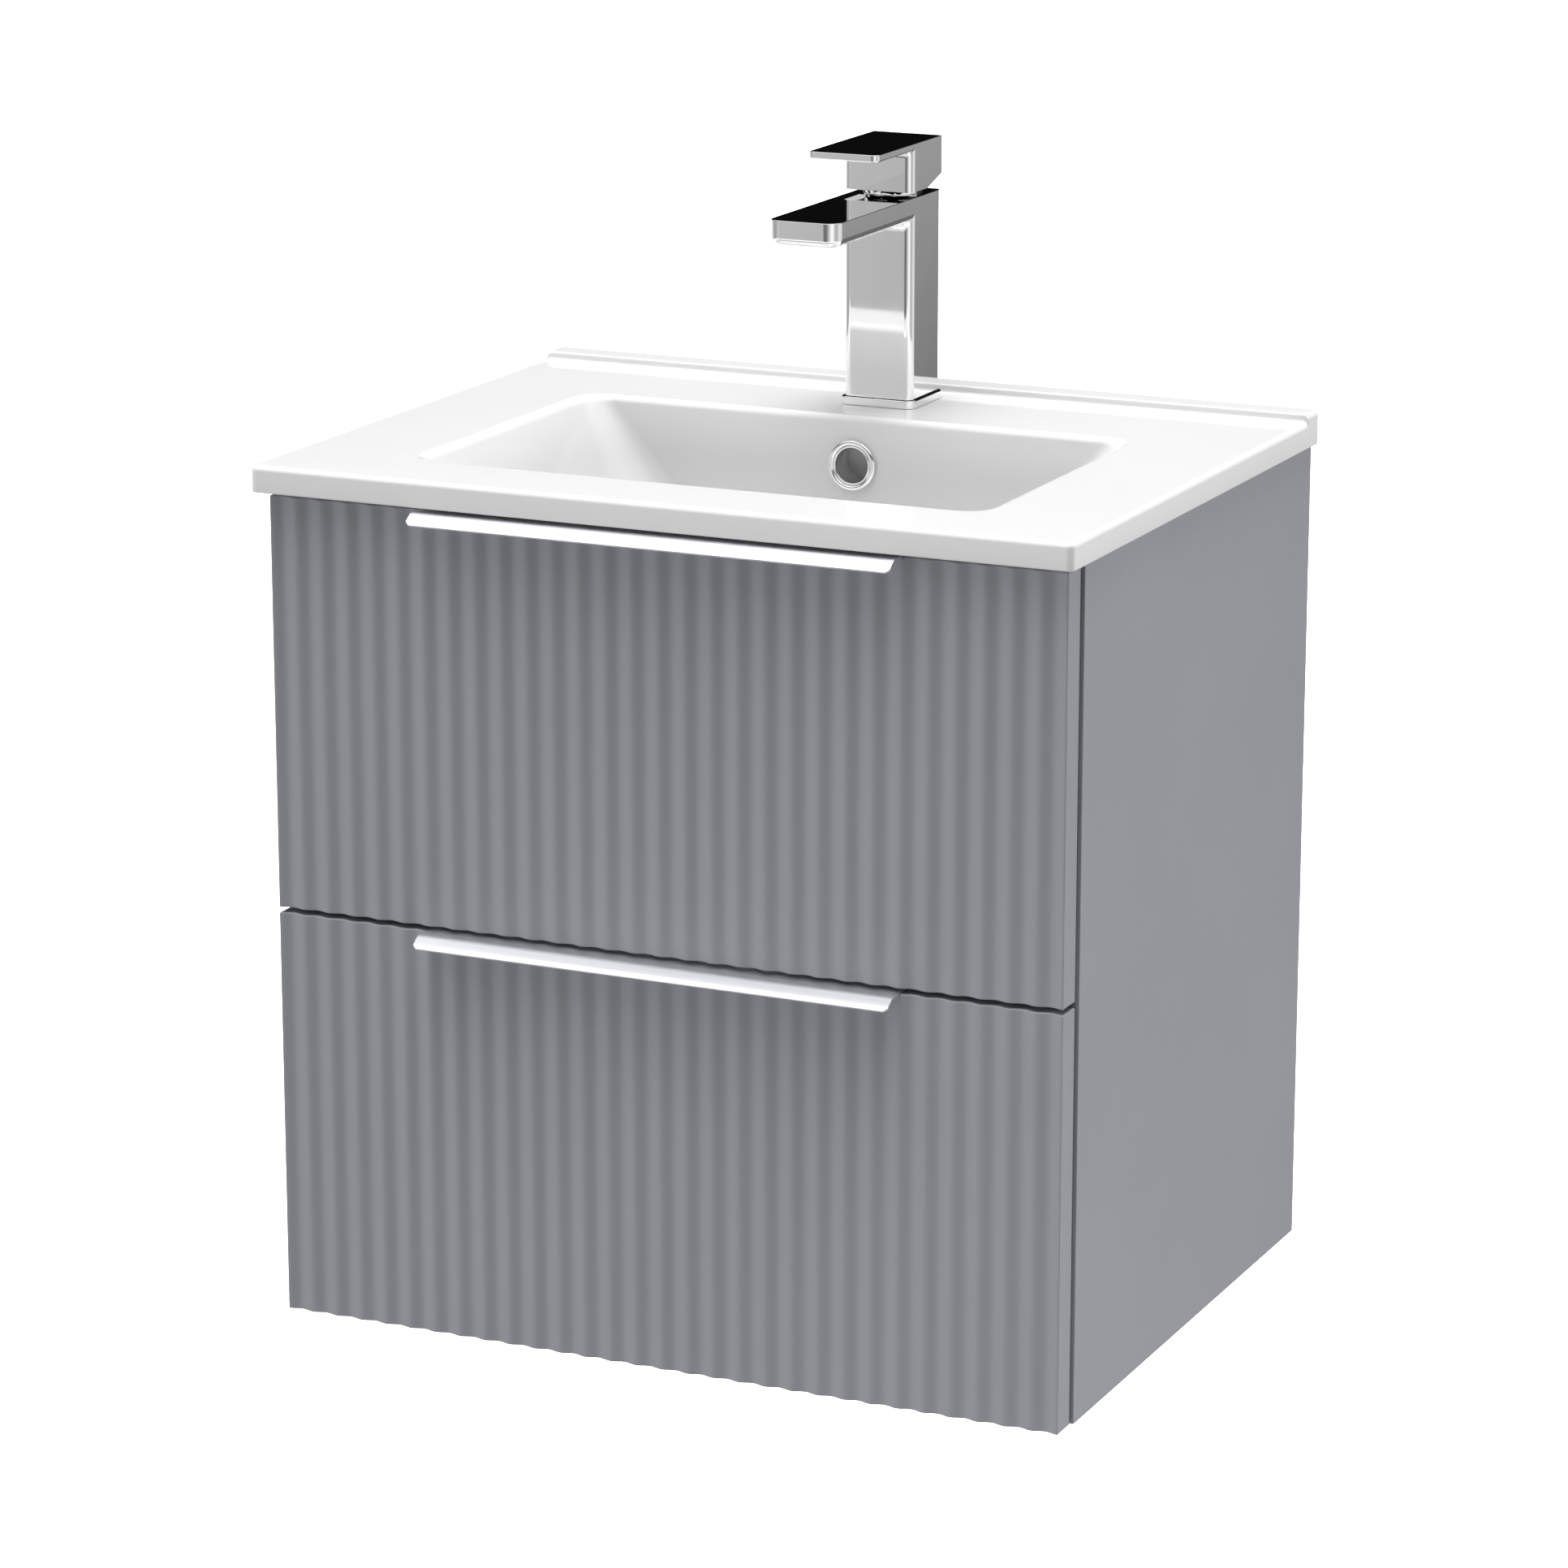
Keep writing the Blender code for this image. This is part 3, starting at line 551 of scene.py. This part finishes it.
def bent_strip(low, high, crest_y):
    """The strip's outer face: flange, plate, slope and lip, before it gets its thickness."""
    plate_y, slope_y = crest_y - PLATE_REACH, crest_y - SLOPE_REACH
    lip = (low.y, high.z - LIP_DROP)
    bends = [(high.y, low.z), (high.y, high.z), (plate_y, high.z), (slope_y, high.z - SLOPE_DROP), lip]
    bm = bmesh.new()
    line = [bm.verts.new((low.x, y, z)) for y, z in bends]
    edges = [bm.edges.new(pair) for pair in zip(line, line[1:])]
    made = bmesh.ops.extrude_edge_only(bm, edges=edges)
    far_end = [v for v in made["geom"] if isinstance(v, bmesh.types.BMVert)]
    bmesh.ops.translate(bm, vec=(high.x - low.x, 0, 0), verts=far_end)
    corners = [v for v in bm.verts if near(v.co.y, lip[0]) and near(v.co.z, lip[1])]
    bmesh.ops.bevel(
        bm, geom=corners, offset=LIP_CHAMFER, segments=1, profile=0.5, affect="VERTICES", material=-1
    )
    for y, radius in ((high.y, FLANGE_BEND_R), (plate_y, PLATE_BEND_R), (slope_y, SLOPE_BEND_R)):
        bend = [e for e in edges_at(bm, "y", y) if len(e.link_faces) == 2]
        round_over(bm, bend, radius, 5)
    bm.normal_update()
    plate = max(bm.faces, key=lambda face: face.calc_area())
    if plate.normal.z < 0:
        bmesh.ops.reverse_faces(bm, faces=bm.faces)
    return bm


def make_handle(level):
    node = f"{level}_handle"
    low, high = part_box(node)
    mesh = mesh_of(bent_strip(low, high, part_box(f"{level}_drawer_front")[0].y), node)
    piece = show(f"{level}_pull", mesh, f"{level}_drawer", "handle_metal", [node], crisp=60)
    thickness = piece.modifiers.new("sheet", "SOLIDIFY")
    thickness.thickness = STRIP_T
    thickness.offset = -1
    thickness.use_even_offset = True
    edge = piece.modifiers.new("deburred", "BEVEL")
    edge.width = STRIP_EDGE_R
    edge.segments = 2
    edge.limit_method = "ANGLE"
    edge.angle_limit = math.radians(50)
    piece.modifiers.move(0, 2)  # the shading comes last


# Basin


def rounded_outline(half_w, front, back, radius, z):
    """A rectangle with round corners, as an open loop of edges in its own mesh."""
    bm = bmesh.new()
    bmesh.ops.create_grid(bm, x_segments=1, y_segments=1, size=1)
    for vertex in bm.verts:
        vertex.co = (math.copysign(half_w, vertex.co.x), front if vertex.co.y < 0 else back, z)
    bmesh.ops.bevel(
        bm, geom=bm.verts[:], offset=radius, segments=CORNER_STEPS, profile=0.5, affect="VERTICES",
        material=-1,
    )
    bmesh.ops.delete(bm, geom=bm.faces[:], context="FACES_ONLY")
    return mesh_of(bm, "outline")


def wall_at(top, floor, top_z, floor_z, z, out=0.0):
    """Half width, front and back of a tapering wall at a level, pushed outwards."""
    share = (top_z - z) / (top_z - floor_z)
    size = top + (floor - top) * share
    return size.x + out, size.y - out, size.z + out


def tub_outlines(top, floor, top_z, floor_z, corner_r, rim_r, floor_r):
    """Outlines down a tub: over its rounded rim, down its walls and round its foot."""
    made = []

    def ring(z, out):
        share = (top_z - z) / (top_z - floor_z)
        radius = corner_r[0] + (corner_r[1] - corner_r[0]) * share + out
        made.append((*wall_at(top, floor, top_z, floor_z, z, out), radius, z))

    quarter = [math.radians(15 * i) for i in range(7)]
    if rim_r:
        for a in quarter:
            ring(top_z - rim_r * (1 - math.cos(a)), rim_r * (1 - math.sin(a)))
    else:
        ring(top_z, 0)
    upper_z, lower_z = top_z - rim_r, floor_z + floor_r
    for i in range(1, 6):
        ring(upper_z + (lower_z - upper_z) * i / 6, 0)
    for a in quarter:
        ring(floor_z + floor_r * (1 - math.sin(a)), -floor_r * (1 - math.cos(a)))
    return made


def circle_outline(radius, z):
    return (radius, WASTE_Y - radius, WASTE_Y + radius, radius * 0.9995, z)


def slab_outlines(high):
    """Outlines up the slab, from under its edge to the deck, for a half width, a front and a back."""
    made = []
    for i in range(4):
        a = math.radians(30 * i)
        inset = BASIN_FOOT_R * (1 - math.sin(a))
        z = BASIN_FOOT_R * (1 - math.cos(a))
        made.append((high.x - inset, high.y + inset, high.z - inset, BASIN_CORNER_R - inset, z))
    for i in range(7):
        a = math.radians(15 * i)
        inset = BASIN_EDGE_R * (1 - math.cos(a))
        z = DECK_Z - BASIN_EDGE_R * (1 - math.sin(a))
        made.append((high.x - inset, high.y + inset, high.z - inset, BASIN_CORNER_R - inset, z))
    return made


def upstand_profile(rise):
    """How far the deck is lifted at each depth: a hollow foot, an upright front and a round edge."""
    quarter = [math.radians(18 * i) for i in range(6)]
    foot = [
        (-UPSTAND_D - UPSTAND_FOOT_R * (1 - math.sin(a)) - HAIR, UPSTAND_FOOT_R * (1 - math.cos(a)))
        for a in quarter
    ]
    edge = [
        (-UPSTAND_D + UPSTAND_EDGE_R * (1 - math.cos(a)), rise - UPSTAND_EDGE_R * (1 - math.sin(a)))
        for a in quarter
    ]
    return foot + edge


def raise_upstand(bm, top_z):
    """Lifts the strip of deck along the wall into a low upstand."""
    rise = top_z - DECK_Z
    marks = upstand_profile(rise)  # depth and lift, from front to back
    for mark in marks:
        slice_at(bm, (0, mark[0], 0), (0, 1, 0))
    for vertex in bm.verts:
        if vertex.co.z < DECK_Z - 1.1 * BASIN_EDGE_R or vertex.co.y < marks[0][0] - 1e-6:
            continue
        lifts = [lift for y, lift in marks if vertex.co.y <= y + 2e-6]
        vertex.co.z += lifts[0] if lifts else rise


def join_outlines(bm, first, second):
    """Skins the gap between two outlines of one pattern, edge against edge."""
    for pair in zip(first, second):
        bmesh.ops.bridge_loops(bm, edges=list(pair))


def basin_outlines(low, high):
    """Every outline of the basin, from its waste hole up the bowl, over the slab and back under."""
    wall = Vector((BOWL_WALL, -BOWL_WALL, BOWL_WALL))
    inside = tub_outlines(
        BOWL_TOP, BOWL_FLOOR, DECK_Z, BOWL_FLOOR_Z, BOWL_CORNER_R, BOWL_RIM_R, BOWL_FLOOR_R
    )
    outside = tub_outlines(
        BOWL_TOP + wall, BOWL_FLOOR + wall, 0, BOWL_UNDER_Z, BOWL_UNDER_CORNER_R, 0, BOWL_UNDER_FLOOR_R
    )
    waste = [
        (WASTE_SEAT_R, BOWL_FLOOR_Z), (WASTE_HOLE_R, BOWL_FLOOR_Z), (WASTE_HOLE_R, BOWL_UNDER_Z),
        (WASTE_BOSS_R, BOWL_UNDER_Z),
    ]
    made = inside + [circle_outline(*ring) for ring in waste] + outside[::-1]
    return made + slab_outlines(Vector((high.x, low.y, high.y)))


def skin_over(outlines):
    """A closed solid through a ring of outlines of one pattern."""
    bm = bmesh.new()
    starts = []
    for outline in outlines:
        starts.append(len(bm.edges))
        bm.from_mesh(rounded_outline(*outline))
    bm.edges.ensure_lookup_table()
    count = len(bm.edges) // len(outlines)
    loops = [[bm.edges[i] for i in range(start, start + count)] for start in starts]
    for first, second in zip(loops, loops[1:] + loops[:1]):
        join_outlines(bm, first, second)
    close_up(bm)
    return bm


def make_basin():
    low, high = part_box("basin")
    bm = skin_over(basin_outlines(low, high))
    raise_upstand(bm, high.z)
    tap_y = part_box("tap_body")[1].y - COLUMN / 2
    holes = [
        drum((0, tap_y, DECK_Z), TAP_HOLE_R, 0.1),
        drum((0, OVERFLOW_Y, OVERFLOW_Z), OVERFLOW_R, 0.016, "Y"),
    ]
    show("washbasin", carved("basin", bm, holes), "root", "ceramic", ["basin"], crisp=40)


def make_overflow_duct():
    """The casing of the overflow's channel behind the bowl: solid here, apart from its throat."""
    duct = block(DUCT_LOW, DUCT_HIGH)
    round_over(duct, edges_at(duct, "y", DUCT_HIGH[1]), DUCT_R, 6)
    throat = drum((0, OVERFLOW_Y + 0.006, OVERFLOW_Z), OVERFLOW_R, 0.024, "Y")
    show("overflow_duct", carved("overflow_duct", duct, [throat]), "root", "ceramic", ["basin"])


def make_overflow_ring():
    """A polished ring: a round outer flange, a fine groove and the lip of its sleeve."""
    low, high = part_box("overflow_ring")
    tilt = math.atan((BOWL_TOP.z - BOWL_FLOOR.z) / (DECK_Z - BOWL_FLOOR_Z))
    wall_y = BOWL_TOP.z - (DECK_Z - OVERFLOW_Z) * math.tan(tilt)
    profile = [(0.0104, -0.0075), (0.0116, -0.0075), (0.0116, 0.0002), (0.0150, 0.0002)]
    profile += arc((0.01375, 0.0011), (0.0016, 0.0017), -20, 200, 12)
    profile += arc((0.01135, 0.0009), (0.00085, 0.0013), 10, 180, 8)
    turn = Matrix.Rotation(math.pi / 2 - tilt, 4, "X")
    bm = lathe(profile, (0, wall_y, (low.z + high.z) / 2), turn)
    show("overflow_trim", mesh_of(bm, "overflow_ring"), "root", "chrome", ["overflow_ring"])


# Mixer


def weigh(bm, edges, radius, full):
    """Marks edges so that one bevel rounds each by its own radius."""
    layer = bm.edges.layers.float["bevel_weight_edge"]
    for edge in edges:
        edge[layer] = radius / full


def rounded_by_weight(name, bm, full, segments=6):
    """The mesh after one bevel of its marked edges, as a new bmesh."""
    close_up(bm)
    work = bpy.data.objects.new(name, mesh_of(bm, name))
    bpy.context.scene.collection.objects.link(work)
    edge = work.modifiers.new("rounding", "BEVEL")
    edge.width = full
    edge.segments = segments
    edge.limit_method = "WEIGHT"
    edge.use_clamp_overlap = True
    graph = bpy.context.evaluated_depsgraph_get()
    mesh = bpy.data.meshes.new_from_object(work.evaluated_get(graph))
    bpy.data.objects.remove(work, do_unlink=True)
    made = bmesh.new()
    made.from_mesh(mesh)
    return made


def front_uprights(bm, face_y, under_z):
    """The upright edges of a block's front, below the plate or spout that reaches over it."""
    return [
        e for e in edges_at(bm, "y", face_y)
        if is_upright(e) and min(v.co.z for v in e.verts) < under_z - 0.001
    ]


def make_base_plate():
    low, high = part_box("tap_base_plate")
    bm = block(low, high)
    round_over(bm, [e for e in bm.edges if is_upright(e)], PLATE_CORNER_R, 8)
    round_over(bm, edges_at(bm, "z", high.z), PLATE_EDGE_R, 3)
    mesh = carved("tap_base_plate", bm, [drum((low + high) / 2, PLATE_HOLE_R, 0.03)])
    show("mixer_base", mesh, "root", "chrome", ["tap_base_plate"])


def make_tap_body():
    low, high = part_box("tap_body")
    half, face_y = high.x, high.y - COLUMN
    under_z = high.z - SPOUT_T
    axis_y = high.y - half
    bm = slab_along_x(-half, half, [
        (high.y, low.z), (high.y, high.z), (low.y, high.z), (low.y, under_z), (face_y, under_z),
        (face_y, low.z),
    ])
    nose = [e for e in edges_at(bm, "y", low.y) if is_upright(e)]
    round_over(bm, nose, SPOUT_NOSE_R, 10)
    full = SPOUT_UNDER_R
    bm.edges.layers.float.new("bevel_weight_edge")
    spout_foot = edges_at(bm, "z", under_z)
    column_back = [e for e in edges_at(bm, "y", high.y) if is_upright(e)]
    weigh(bm, spout_foot, SPOUT_UNDER_R, full)
    weigh(bm, front_uprights(bm, face_y, under_z) + column_back, COLUMN_R, full)
    weigh(bm, edges_at(bm, "z", high.z), CRISP_R, full)
    bm = rounded_by_weight("tap_body", bm, full, 8)
    bore_z = high.z + BORE_OVERSHOOT - CARTRIDGE_BORE_DEPTH / 2
    outlet_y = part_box("aerator")[0].y + OUTLET_SETBACK
    cutters = [
        drum((0, axis_y, bore_z), CARTRIDGE_BORE_R, CARTRIDGE_BORE_DEPTH),
        drum((0, outlet_y, under_z), OUTLET_R, 2 * OUTLET_DEPTH),
    ]
    show("mixer_body", carved("tap_body", bm, cutters), "root", "chrome", ["tap_body"])


def make_dome():
    axis_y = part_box("tap_body")[1].y - COLUMN / 2
    low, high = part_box("dome_collar")

    def ball(radius, z):
        return math.sqrt(radius**2 - (z - PIVOT_Z) ** 2)

    levels = [DOME_FOOT_Z + DOME_RISE * i / DOME_STEPS for i in range(DOME_STEPS + 1)]
    profile = [(DOME_BORE_R, low.z), (DOME_FOOT_R, low.z)]
    profile += [(ball(DOME_R, z), z) for z in levels]
    profile += [(ball(DOME_R, DOME_LIP_Z) - 0.0002, high.z)]
    profile += [(ball(DOME_R - DOME_T, z), z) for z in reversed(levels)]
    bm = lathe(profile, (0, axis_y, 0), steps=96)
    show("mixer_dome", mesh_of(bm, "dome_collar"), "root", "chrome", ["dome_collar"])


def lever_block(low, high):
    """The lever's plate and the block under its back, with each edge rounded in its own way."""
    back_y, face_y = high.y, high.y - COLUMN
    under_z = high.z - LEVER_PLATE_T
    forward, up = LEVER_BACK_CUT
    bm = slab_along_x(-high.x, high.x, [
        (back_y, high.z), (low.y, high.z), (low.y, under_z), (face_y, under_z), (face_y, low.z),
        (back_y - forward, low.z), (back_y, low.z + up),
    ])
    nose = [e for e in edges_at(bm, "y", low.y) if is_upright(e)]
    round_over(bm, nose, LEVER_NOSE_R, 8)
    full = LEVER_BLOCK_R
    bm.edges.layers.float.new("bevel_weight_edge")
    plate_foot = edges_at(bm, "z", under_z)
    inner = [e for e in edges_at(bm, "y", face_y) if e in plate_foot]
    back = [e for e in edges_at(bm, "y", back_y) if max(v.co.z for v in e.verts) < high.z - 0.001]
    weigh(bm, plate_foot, LEVER_PLATE_FOOT_R, full)
    weigh(bm, inner, LEVER_INNER_R, full)
    weigh(bm, front_uprights(bm, face_y, under_z), LEVER_BLOCK_R, full)
    weigh(bm, edges_at(bm, "z", high.z) + edges_at(bm, "z", low.z), CRISP_R, full)
    weigh(bm, back, LEVER_BACK_R, full)
    return rounded_by_weight("tap_lever", bm, full, 8)


def make_lever():
    low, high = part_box("tap_lever")
    ball = bmesh.new()
    bmesh.ops.create_uvsphere(
        ball, u_segments=48, v_segments=24, radius=DOME_R + DOME_CLEARANCE,
        matrix=Matrix.Translation((0, high.y - high.x, PIVOT_Z)),
    )
    mesh = carved("tap_lever", lever_block(low, high), [ball])
    show("mixer_lever", mesh, "tap_lever", "chrome", ["tap_lever"])


def make_aerator():
    """The outlet's ring with its face set a little back."""
    low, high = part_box("aerator")
    centre = (low + high) / 2
    face_z = low.z + 0.0016
    profile = [(0, high.z), (0.0112, high.z), (0.0115, high.z - 0.0003), (0.0115, low.z + 0.0004)]
    profile += [(0.0111, low.z), (0.0088, low.z), (0.0084, low.z + 0.0005), (0.0084, face_z), (0, face_z)]
    bm = lathe(profile, (0, centre.y, 0))
    show("mixer_aerator", mesh_of(bm, "aerator"), "root", "chrome", ["aerator"])


# Waste


def make_plug():
    low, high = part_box("waste_plug")
    seat = high.z - 0.0050
    profile = [(0, low.z), (0.0036, low.z), (0.0040, low.z + 0.0004), (0.0040, seat), (0.0296, seat)]
    profile += arc((0.0290, seat + 0.0011), (0.0012, 0.0011), -60, 60, 6)
    profile += [(0.0270, seat + 0.0031), (0.0220, seat + 0.0041), (0.0150, seat + 0.0047)]
    profile += [(0.0080, seat + 0.0049), (0, high.z)]
    bm = lathe(profile, (0, WASTE_Y, 0), steps=96)
    show("click_plug", mesh_of(bm, "waste_plug"), "waste_plug", "chrome", ["waste_plug"])


# Everything else keeps its CAD shape, with its sharp edges broken


def soften(node, finish, radius, segments=2):
    bm = bmesh.new()
    bm.from_mesh(NODES[node].data)
    bmesh.ops.remove_doubles(bm, verts=bm.verts, dist=1e-6)
    bmesh.ops.dissolve_limit(bm, angle_limit=math.radians(1), verts=bm.verts[:], edges=bm.edges[:])
    corners = [e for e in bm.edges if e.is_manifold and e.calc_face_angle() > math.radians(40)]
    round_over(bm, corners, radius, segments)
    body = body_of(NODES[node])[0]
    show(f"{node}_finished", mesh_of(bm, node), body, finish, [node])


SOFTENED = {  # finish: the radius of the broken edges, and the nodes
    "grey_lacquer": (0.0005, [
        "side_panel_left", "side_panel_right", "bottom_panel", "front_rail", "lower_back_rail",
        "hanging_rail",
    ]),
    "white_board": (0.0004, [
        "notch_front", "notch_side_left", "notch_side_right", "upper_box_back_left",
        "upper_box_back_right", "upper_box_bottom", "upper_box_side_left", "upper_box_side_right",
        "lower_box_back", "lower_box_bottom", "lower_box_side_left", "lower_box_side_right",
    ]),
    "zinc_steel": (0.0002, [
        name for name in sorted(NODES) if "_rail_" in name or name.startswith(("hanger", "wall_plate"))
    ]),
    "brass": (0.0003, [
        "tap_clamp", "tap_nut", "tap_stud", "tap_inlet_left", "tap_inlet_right", "tap_stem",
    ]),
    "rubber": (0.0004, ["tap_gasket", "waste_seal"]),
    "chrome": (0.0003, ["waste_nut", "waste_body"]),
    "cartridge_plastic": (0.0003, ["cartridge_housing", "cartridge_rotor"]),
}


# Studio


def make_camera():
    camera = bpy.data.objects.new("camera", bpy.data.cameras.new("camera"))
    bpy.context.scene.collection.objects.link(camera)
    camera.location = CAMERA_PLACE
    ahead = Vector((
        -math.sin(CAMERA_TURN) * math.cos(CAMERA_DIP),
        math.cos(CAMERA_TURN) * math.cos(CAMERA_DIP),
        -math.sin(CAMERA_DIP),
    ))
    camera.rotation_euler = ahead.to_track_quat("-Z", "Y").to_euler()
    camera.data.lens = CAMERA_LENS
    camera.data.sensor_width = 36
    camera.data.clip_end = 200
    bpy.context.scene.camera = camera


def make_floor():
    bm = bmesh.new()
    bmesh.ops.create_grid(bm, x_segments=1, y_segments=1, size=60)
    bmesh.ops.translate(bm, vec=(0, 0, FLOOR_Z), verts=bm.verts)
    floor = bpy.data.objects.new("floor", mesh_of(bm, "floor"))
    bpy.context.scene.collection.objects.link(floor)
    pale = new_finish("pale_floor", (0.9, 0.9, 0.9), 0.9)
    shader_of(pale).inputs["Emission Color"].default_value = (1, 1, 1, 1)
    shader_of(pale).inputs["Emission Strength"].default_value = 1.0
    floor.data.materials.append(pale)
    floor.visible_glossy = False
    floor.visible_diffuse = False
    floor.visible_shadow = False


def along_ramp(world, value, stops):
    """A value passed through a grey ramp of (position, brightness) stops."""
    ramp = add(world, "ShaderNodeValToRGB")
    elements = ramp.color_ramp.elements
    while len(elements) > 1:
        elements.remove(elements[0])
    elements[0].position = stops[0][0]
    elements[0].color = (stops[0][1],) * 3 + (1,)
    for position, brightness in stops[1:]:
        element = elements.new(position)
        element.color = (brightness,) * 3 + (1,)
    wire(world, value, ramp.inputs["Fac"])
    return ramp.outputs["Color"]


def calculate(world, operation, *values):
    node = add(world, "ShaderNodeMath", operation=operation)
    for socket, value in zip(node.inputs, values):
        if isinstance(value, (int, float)):
            socket.default_value = value
        else:
            wire(world, value, socket)
    return node.outputs[0]


def blend_of(world, factor, first, second):
    """first where the factor is 0, second where it is 1."""
    rest = calculate(world, "SUBTRACT", 1.0, factor)
    return calculate(world, "MULTIPLY_ADD", second, factor, calculate(world, "MULTIPLY", first, rest))


ROUND_THE_STUDIO = [  # degrees round from the front towards the right, brightness
    (-180, 0.28), (-166, 0.33), (-157, 0.60), (-148, 0.86), (-100, 0.86), (-86, 0.42), (-72, 0.34),
    (-50, 0.48), (-38, 0.60), (-24, 0.51), (-12, 0.20), (0, 0.15), (12, 0.28), (24, 0.51), (38, 0.9),
    (50, 1.1), (60, 0.93), (73, 0.55), (84, 0.46), (100, 0.64), (118, 0.84), (134, 0.74), (146, 0.62),
    (158, 0.30), (180, 0.28),
]
SOFTBOXES = [  # degrees round, degrees up, narrowness, brightness
    (-35, 65, 8, 2.1), (-50, -15, 6, 1.95), (-10, -20, 6, 0.45), (130, -8, 8, 5.2), (0, 90, 20, 14.1),
]
# Ramps along a share of the way: round the studio, from down to up, and from front to back
SHADED_STRETCH = [(0.0, 1), (0.04, 1), (0.06, 0), (0.91, 0), (0.93, 1), (1.0, 1)]
CARD_FEET = [(0.40, 0.5), (0.43, 0.0)]
BEHIND = [(0.50, 0.0), (0.60, 1.0)]
ABOVE_HORIZON = [(0.50, 0.0), (0.52, 1.0)]
UPPER_WALLS = [(0.58, 0.0), (0.63, 1.0)]
CEILING = [(0.74, 0.0), (0.82, 1.0)]


def softbox(world, direction, turn, rise, narrowness, brightness):
    """A round glow that fades away from its middle."""
    turn, rise = math.radians(turn), math.radians(rise)
    flat = math.cos(rise)
    middle = (math.sin(turn) * flat, -math.cos(turn) * flat, math.sin(rise))
    toward = add(world, "ShaderNodeVectorMath", operation="DOT_PRODUCT")
    wire(world, direction, toward.inputs[0])
    toward.inputs[1].default_value = middle
    facing = calculate(world, "MAXIMUM", toward.outputs["Value"], 0.0)
    return calculate(world, "MULTIPLY", calculate(world, "POWER", facing, narrowness), brightness)


def studio_in_mirrors(world, direction):
    """Cards standing round the object, darkness above them at the back, a white ceiling."""
    split = add(world, "ShaderNodeSeparateXYZ")
    wire(world, direction, split.inputs[0])
    x, y, z = split.outputs
    turn = calculate(world, "ARCTAN2", x, calculate(world, "MULTIPLY", y, -1.0))
    around = calculate(world, "MULTIPLY_ADD", turn, 1 / (2 * math.pi), 0.5)
    depth = calculate(world, "MULTIPLY_ADD", y, 0.5, 0.5)
    height = calculate(world, "MULTIPLY_ADD", z, 0.5, 0.5)
    cards = along_ramp(world, around, [(a / 360 + 0.5, glow / 2) for a, glow in ROUND_THE_STUDIO])
    stretch = along_ramp(world, around, SHADED_STRETCH)
    shade = calculate(world, "MULTIPLY", stretch, along_ramp(world, height, CARD_FEET))
    walls = blend_of(world, shade, calculate(world, "MULTIPLY", cards, 2.0), 0.0)
    above = along_ramp(world, height, ABOVE_HORIZON)
    gap = calculate(world, "MULTIPLY", along_ramp(world, depth, BEHIND), above)
    walls = blend_of(world, gap, walls, GAP_GLOW)
    upper = calculate(world, "MULTIPLY", along_ramp(world, height, UPPER_WALLS), UPPER_WALL_SHARE)
    walls = blend_of(world, upper, walls, UPPER_WALL_GLOW)
    return blend_of(world, along_ramp(world, height, CEILING), walls, CEILING_GLOW)


def make_low_card():
    """A soft light low on the right that lifts the lower drawer."""
    lamp = bpy.data.lights.new("low_card", "AREA")
    lamp.shape = "RECTANGLE"
    lamp.size, lamp.size_y = LOW_CARD_SIZE
    lamp.energy = LOW_CARD_POWER
    card = bpy.data.objects.new("low_card", lamp)
    bpy.context.scene.collection.objects.link(card)
    card.location = LOW_CARD_PLACE
    card.rotation_euler = (LOW_CARD_AIM - LOW_CARD_PLACE).to_track_quat("-Z", "Y").to_euler()
    card.visible_glossy = False
    card.visible_camera = False


def make_light():
    world = bpy.data.worlds.new("studio")
    bpy.context.scene.world = world
    world.use_nodes = True
    direction = add(world, "ShaderNodeTexCoord").outputs["Generated"]
    mirrored = studio_in_mirrors(world, direction)
    soft = STRAY_LIGHT
    for light in SOFTBOXES:
        soft = calculate(world, "ADD", soft, softbox(world, direction, *light))
    path = add(world, "ShaderNodeLightPath")
    lit = blend_of(world, path.outputs["Is Glossy Ray"], soft, mirrored)
    seen = blend_of(world, path.outputs["Is Camera Ray"], lit, 1.0)
    background = world.node_tree.nodes["Background"]
    wire(world, seen, background.inputs["Color"])
    bpy.context.scene.view_settings.view_transform = "Standard"


make_camera()
make_floor()
make_light()
make_low_card()
for level in ("upper", "lower"):
    make_front(level)
    make_handle(level)
make_basin()
make_overflow_duct()
make_overflow_ring()
make_base_plate()
make_tap_body()
make_dome()
make_lever()
make_aerator()
make_plug()
for finish_name, (edge_r, nodes) in SOFTENED.items():
    for node_name in nodes:
        soften(node_name, finish_name, edge_r)
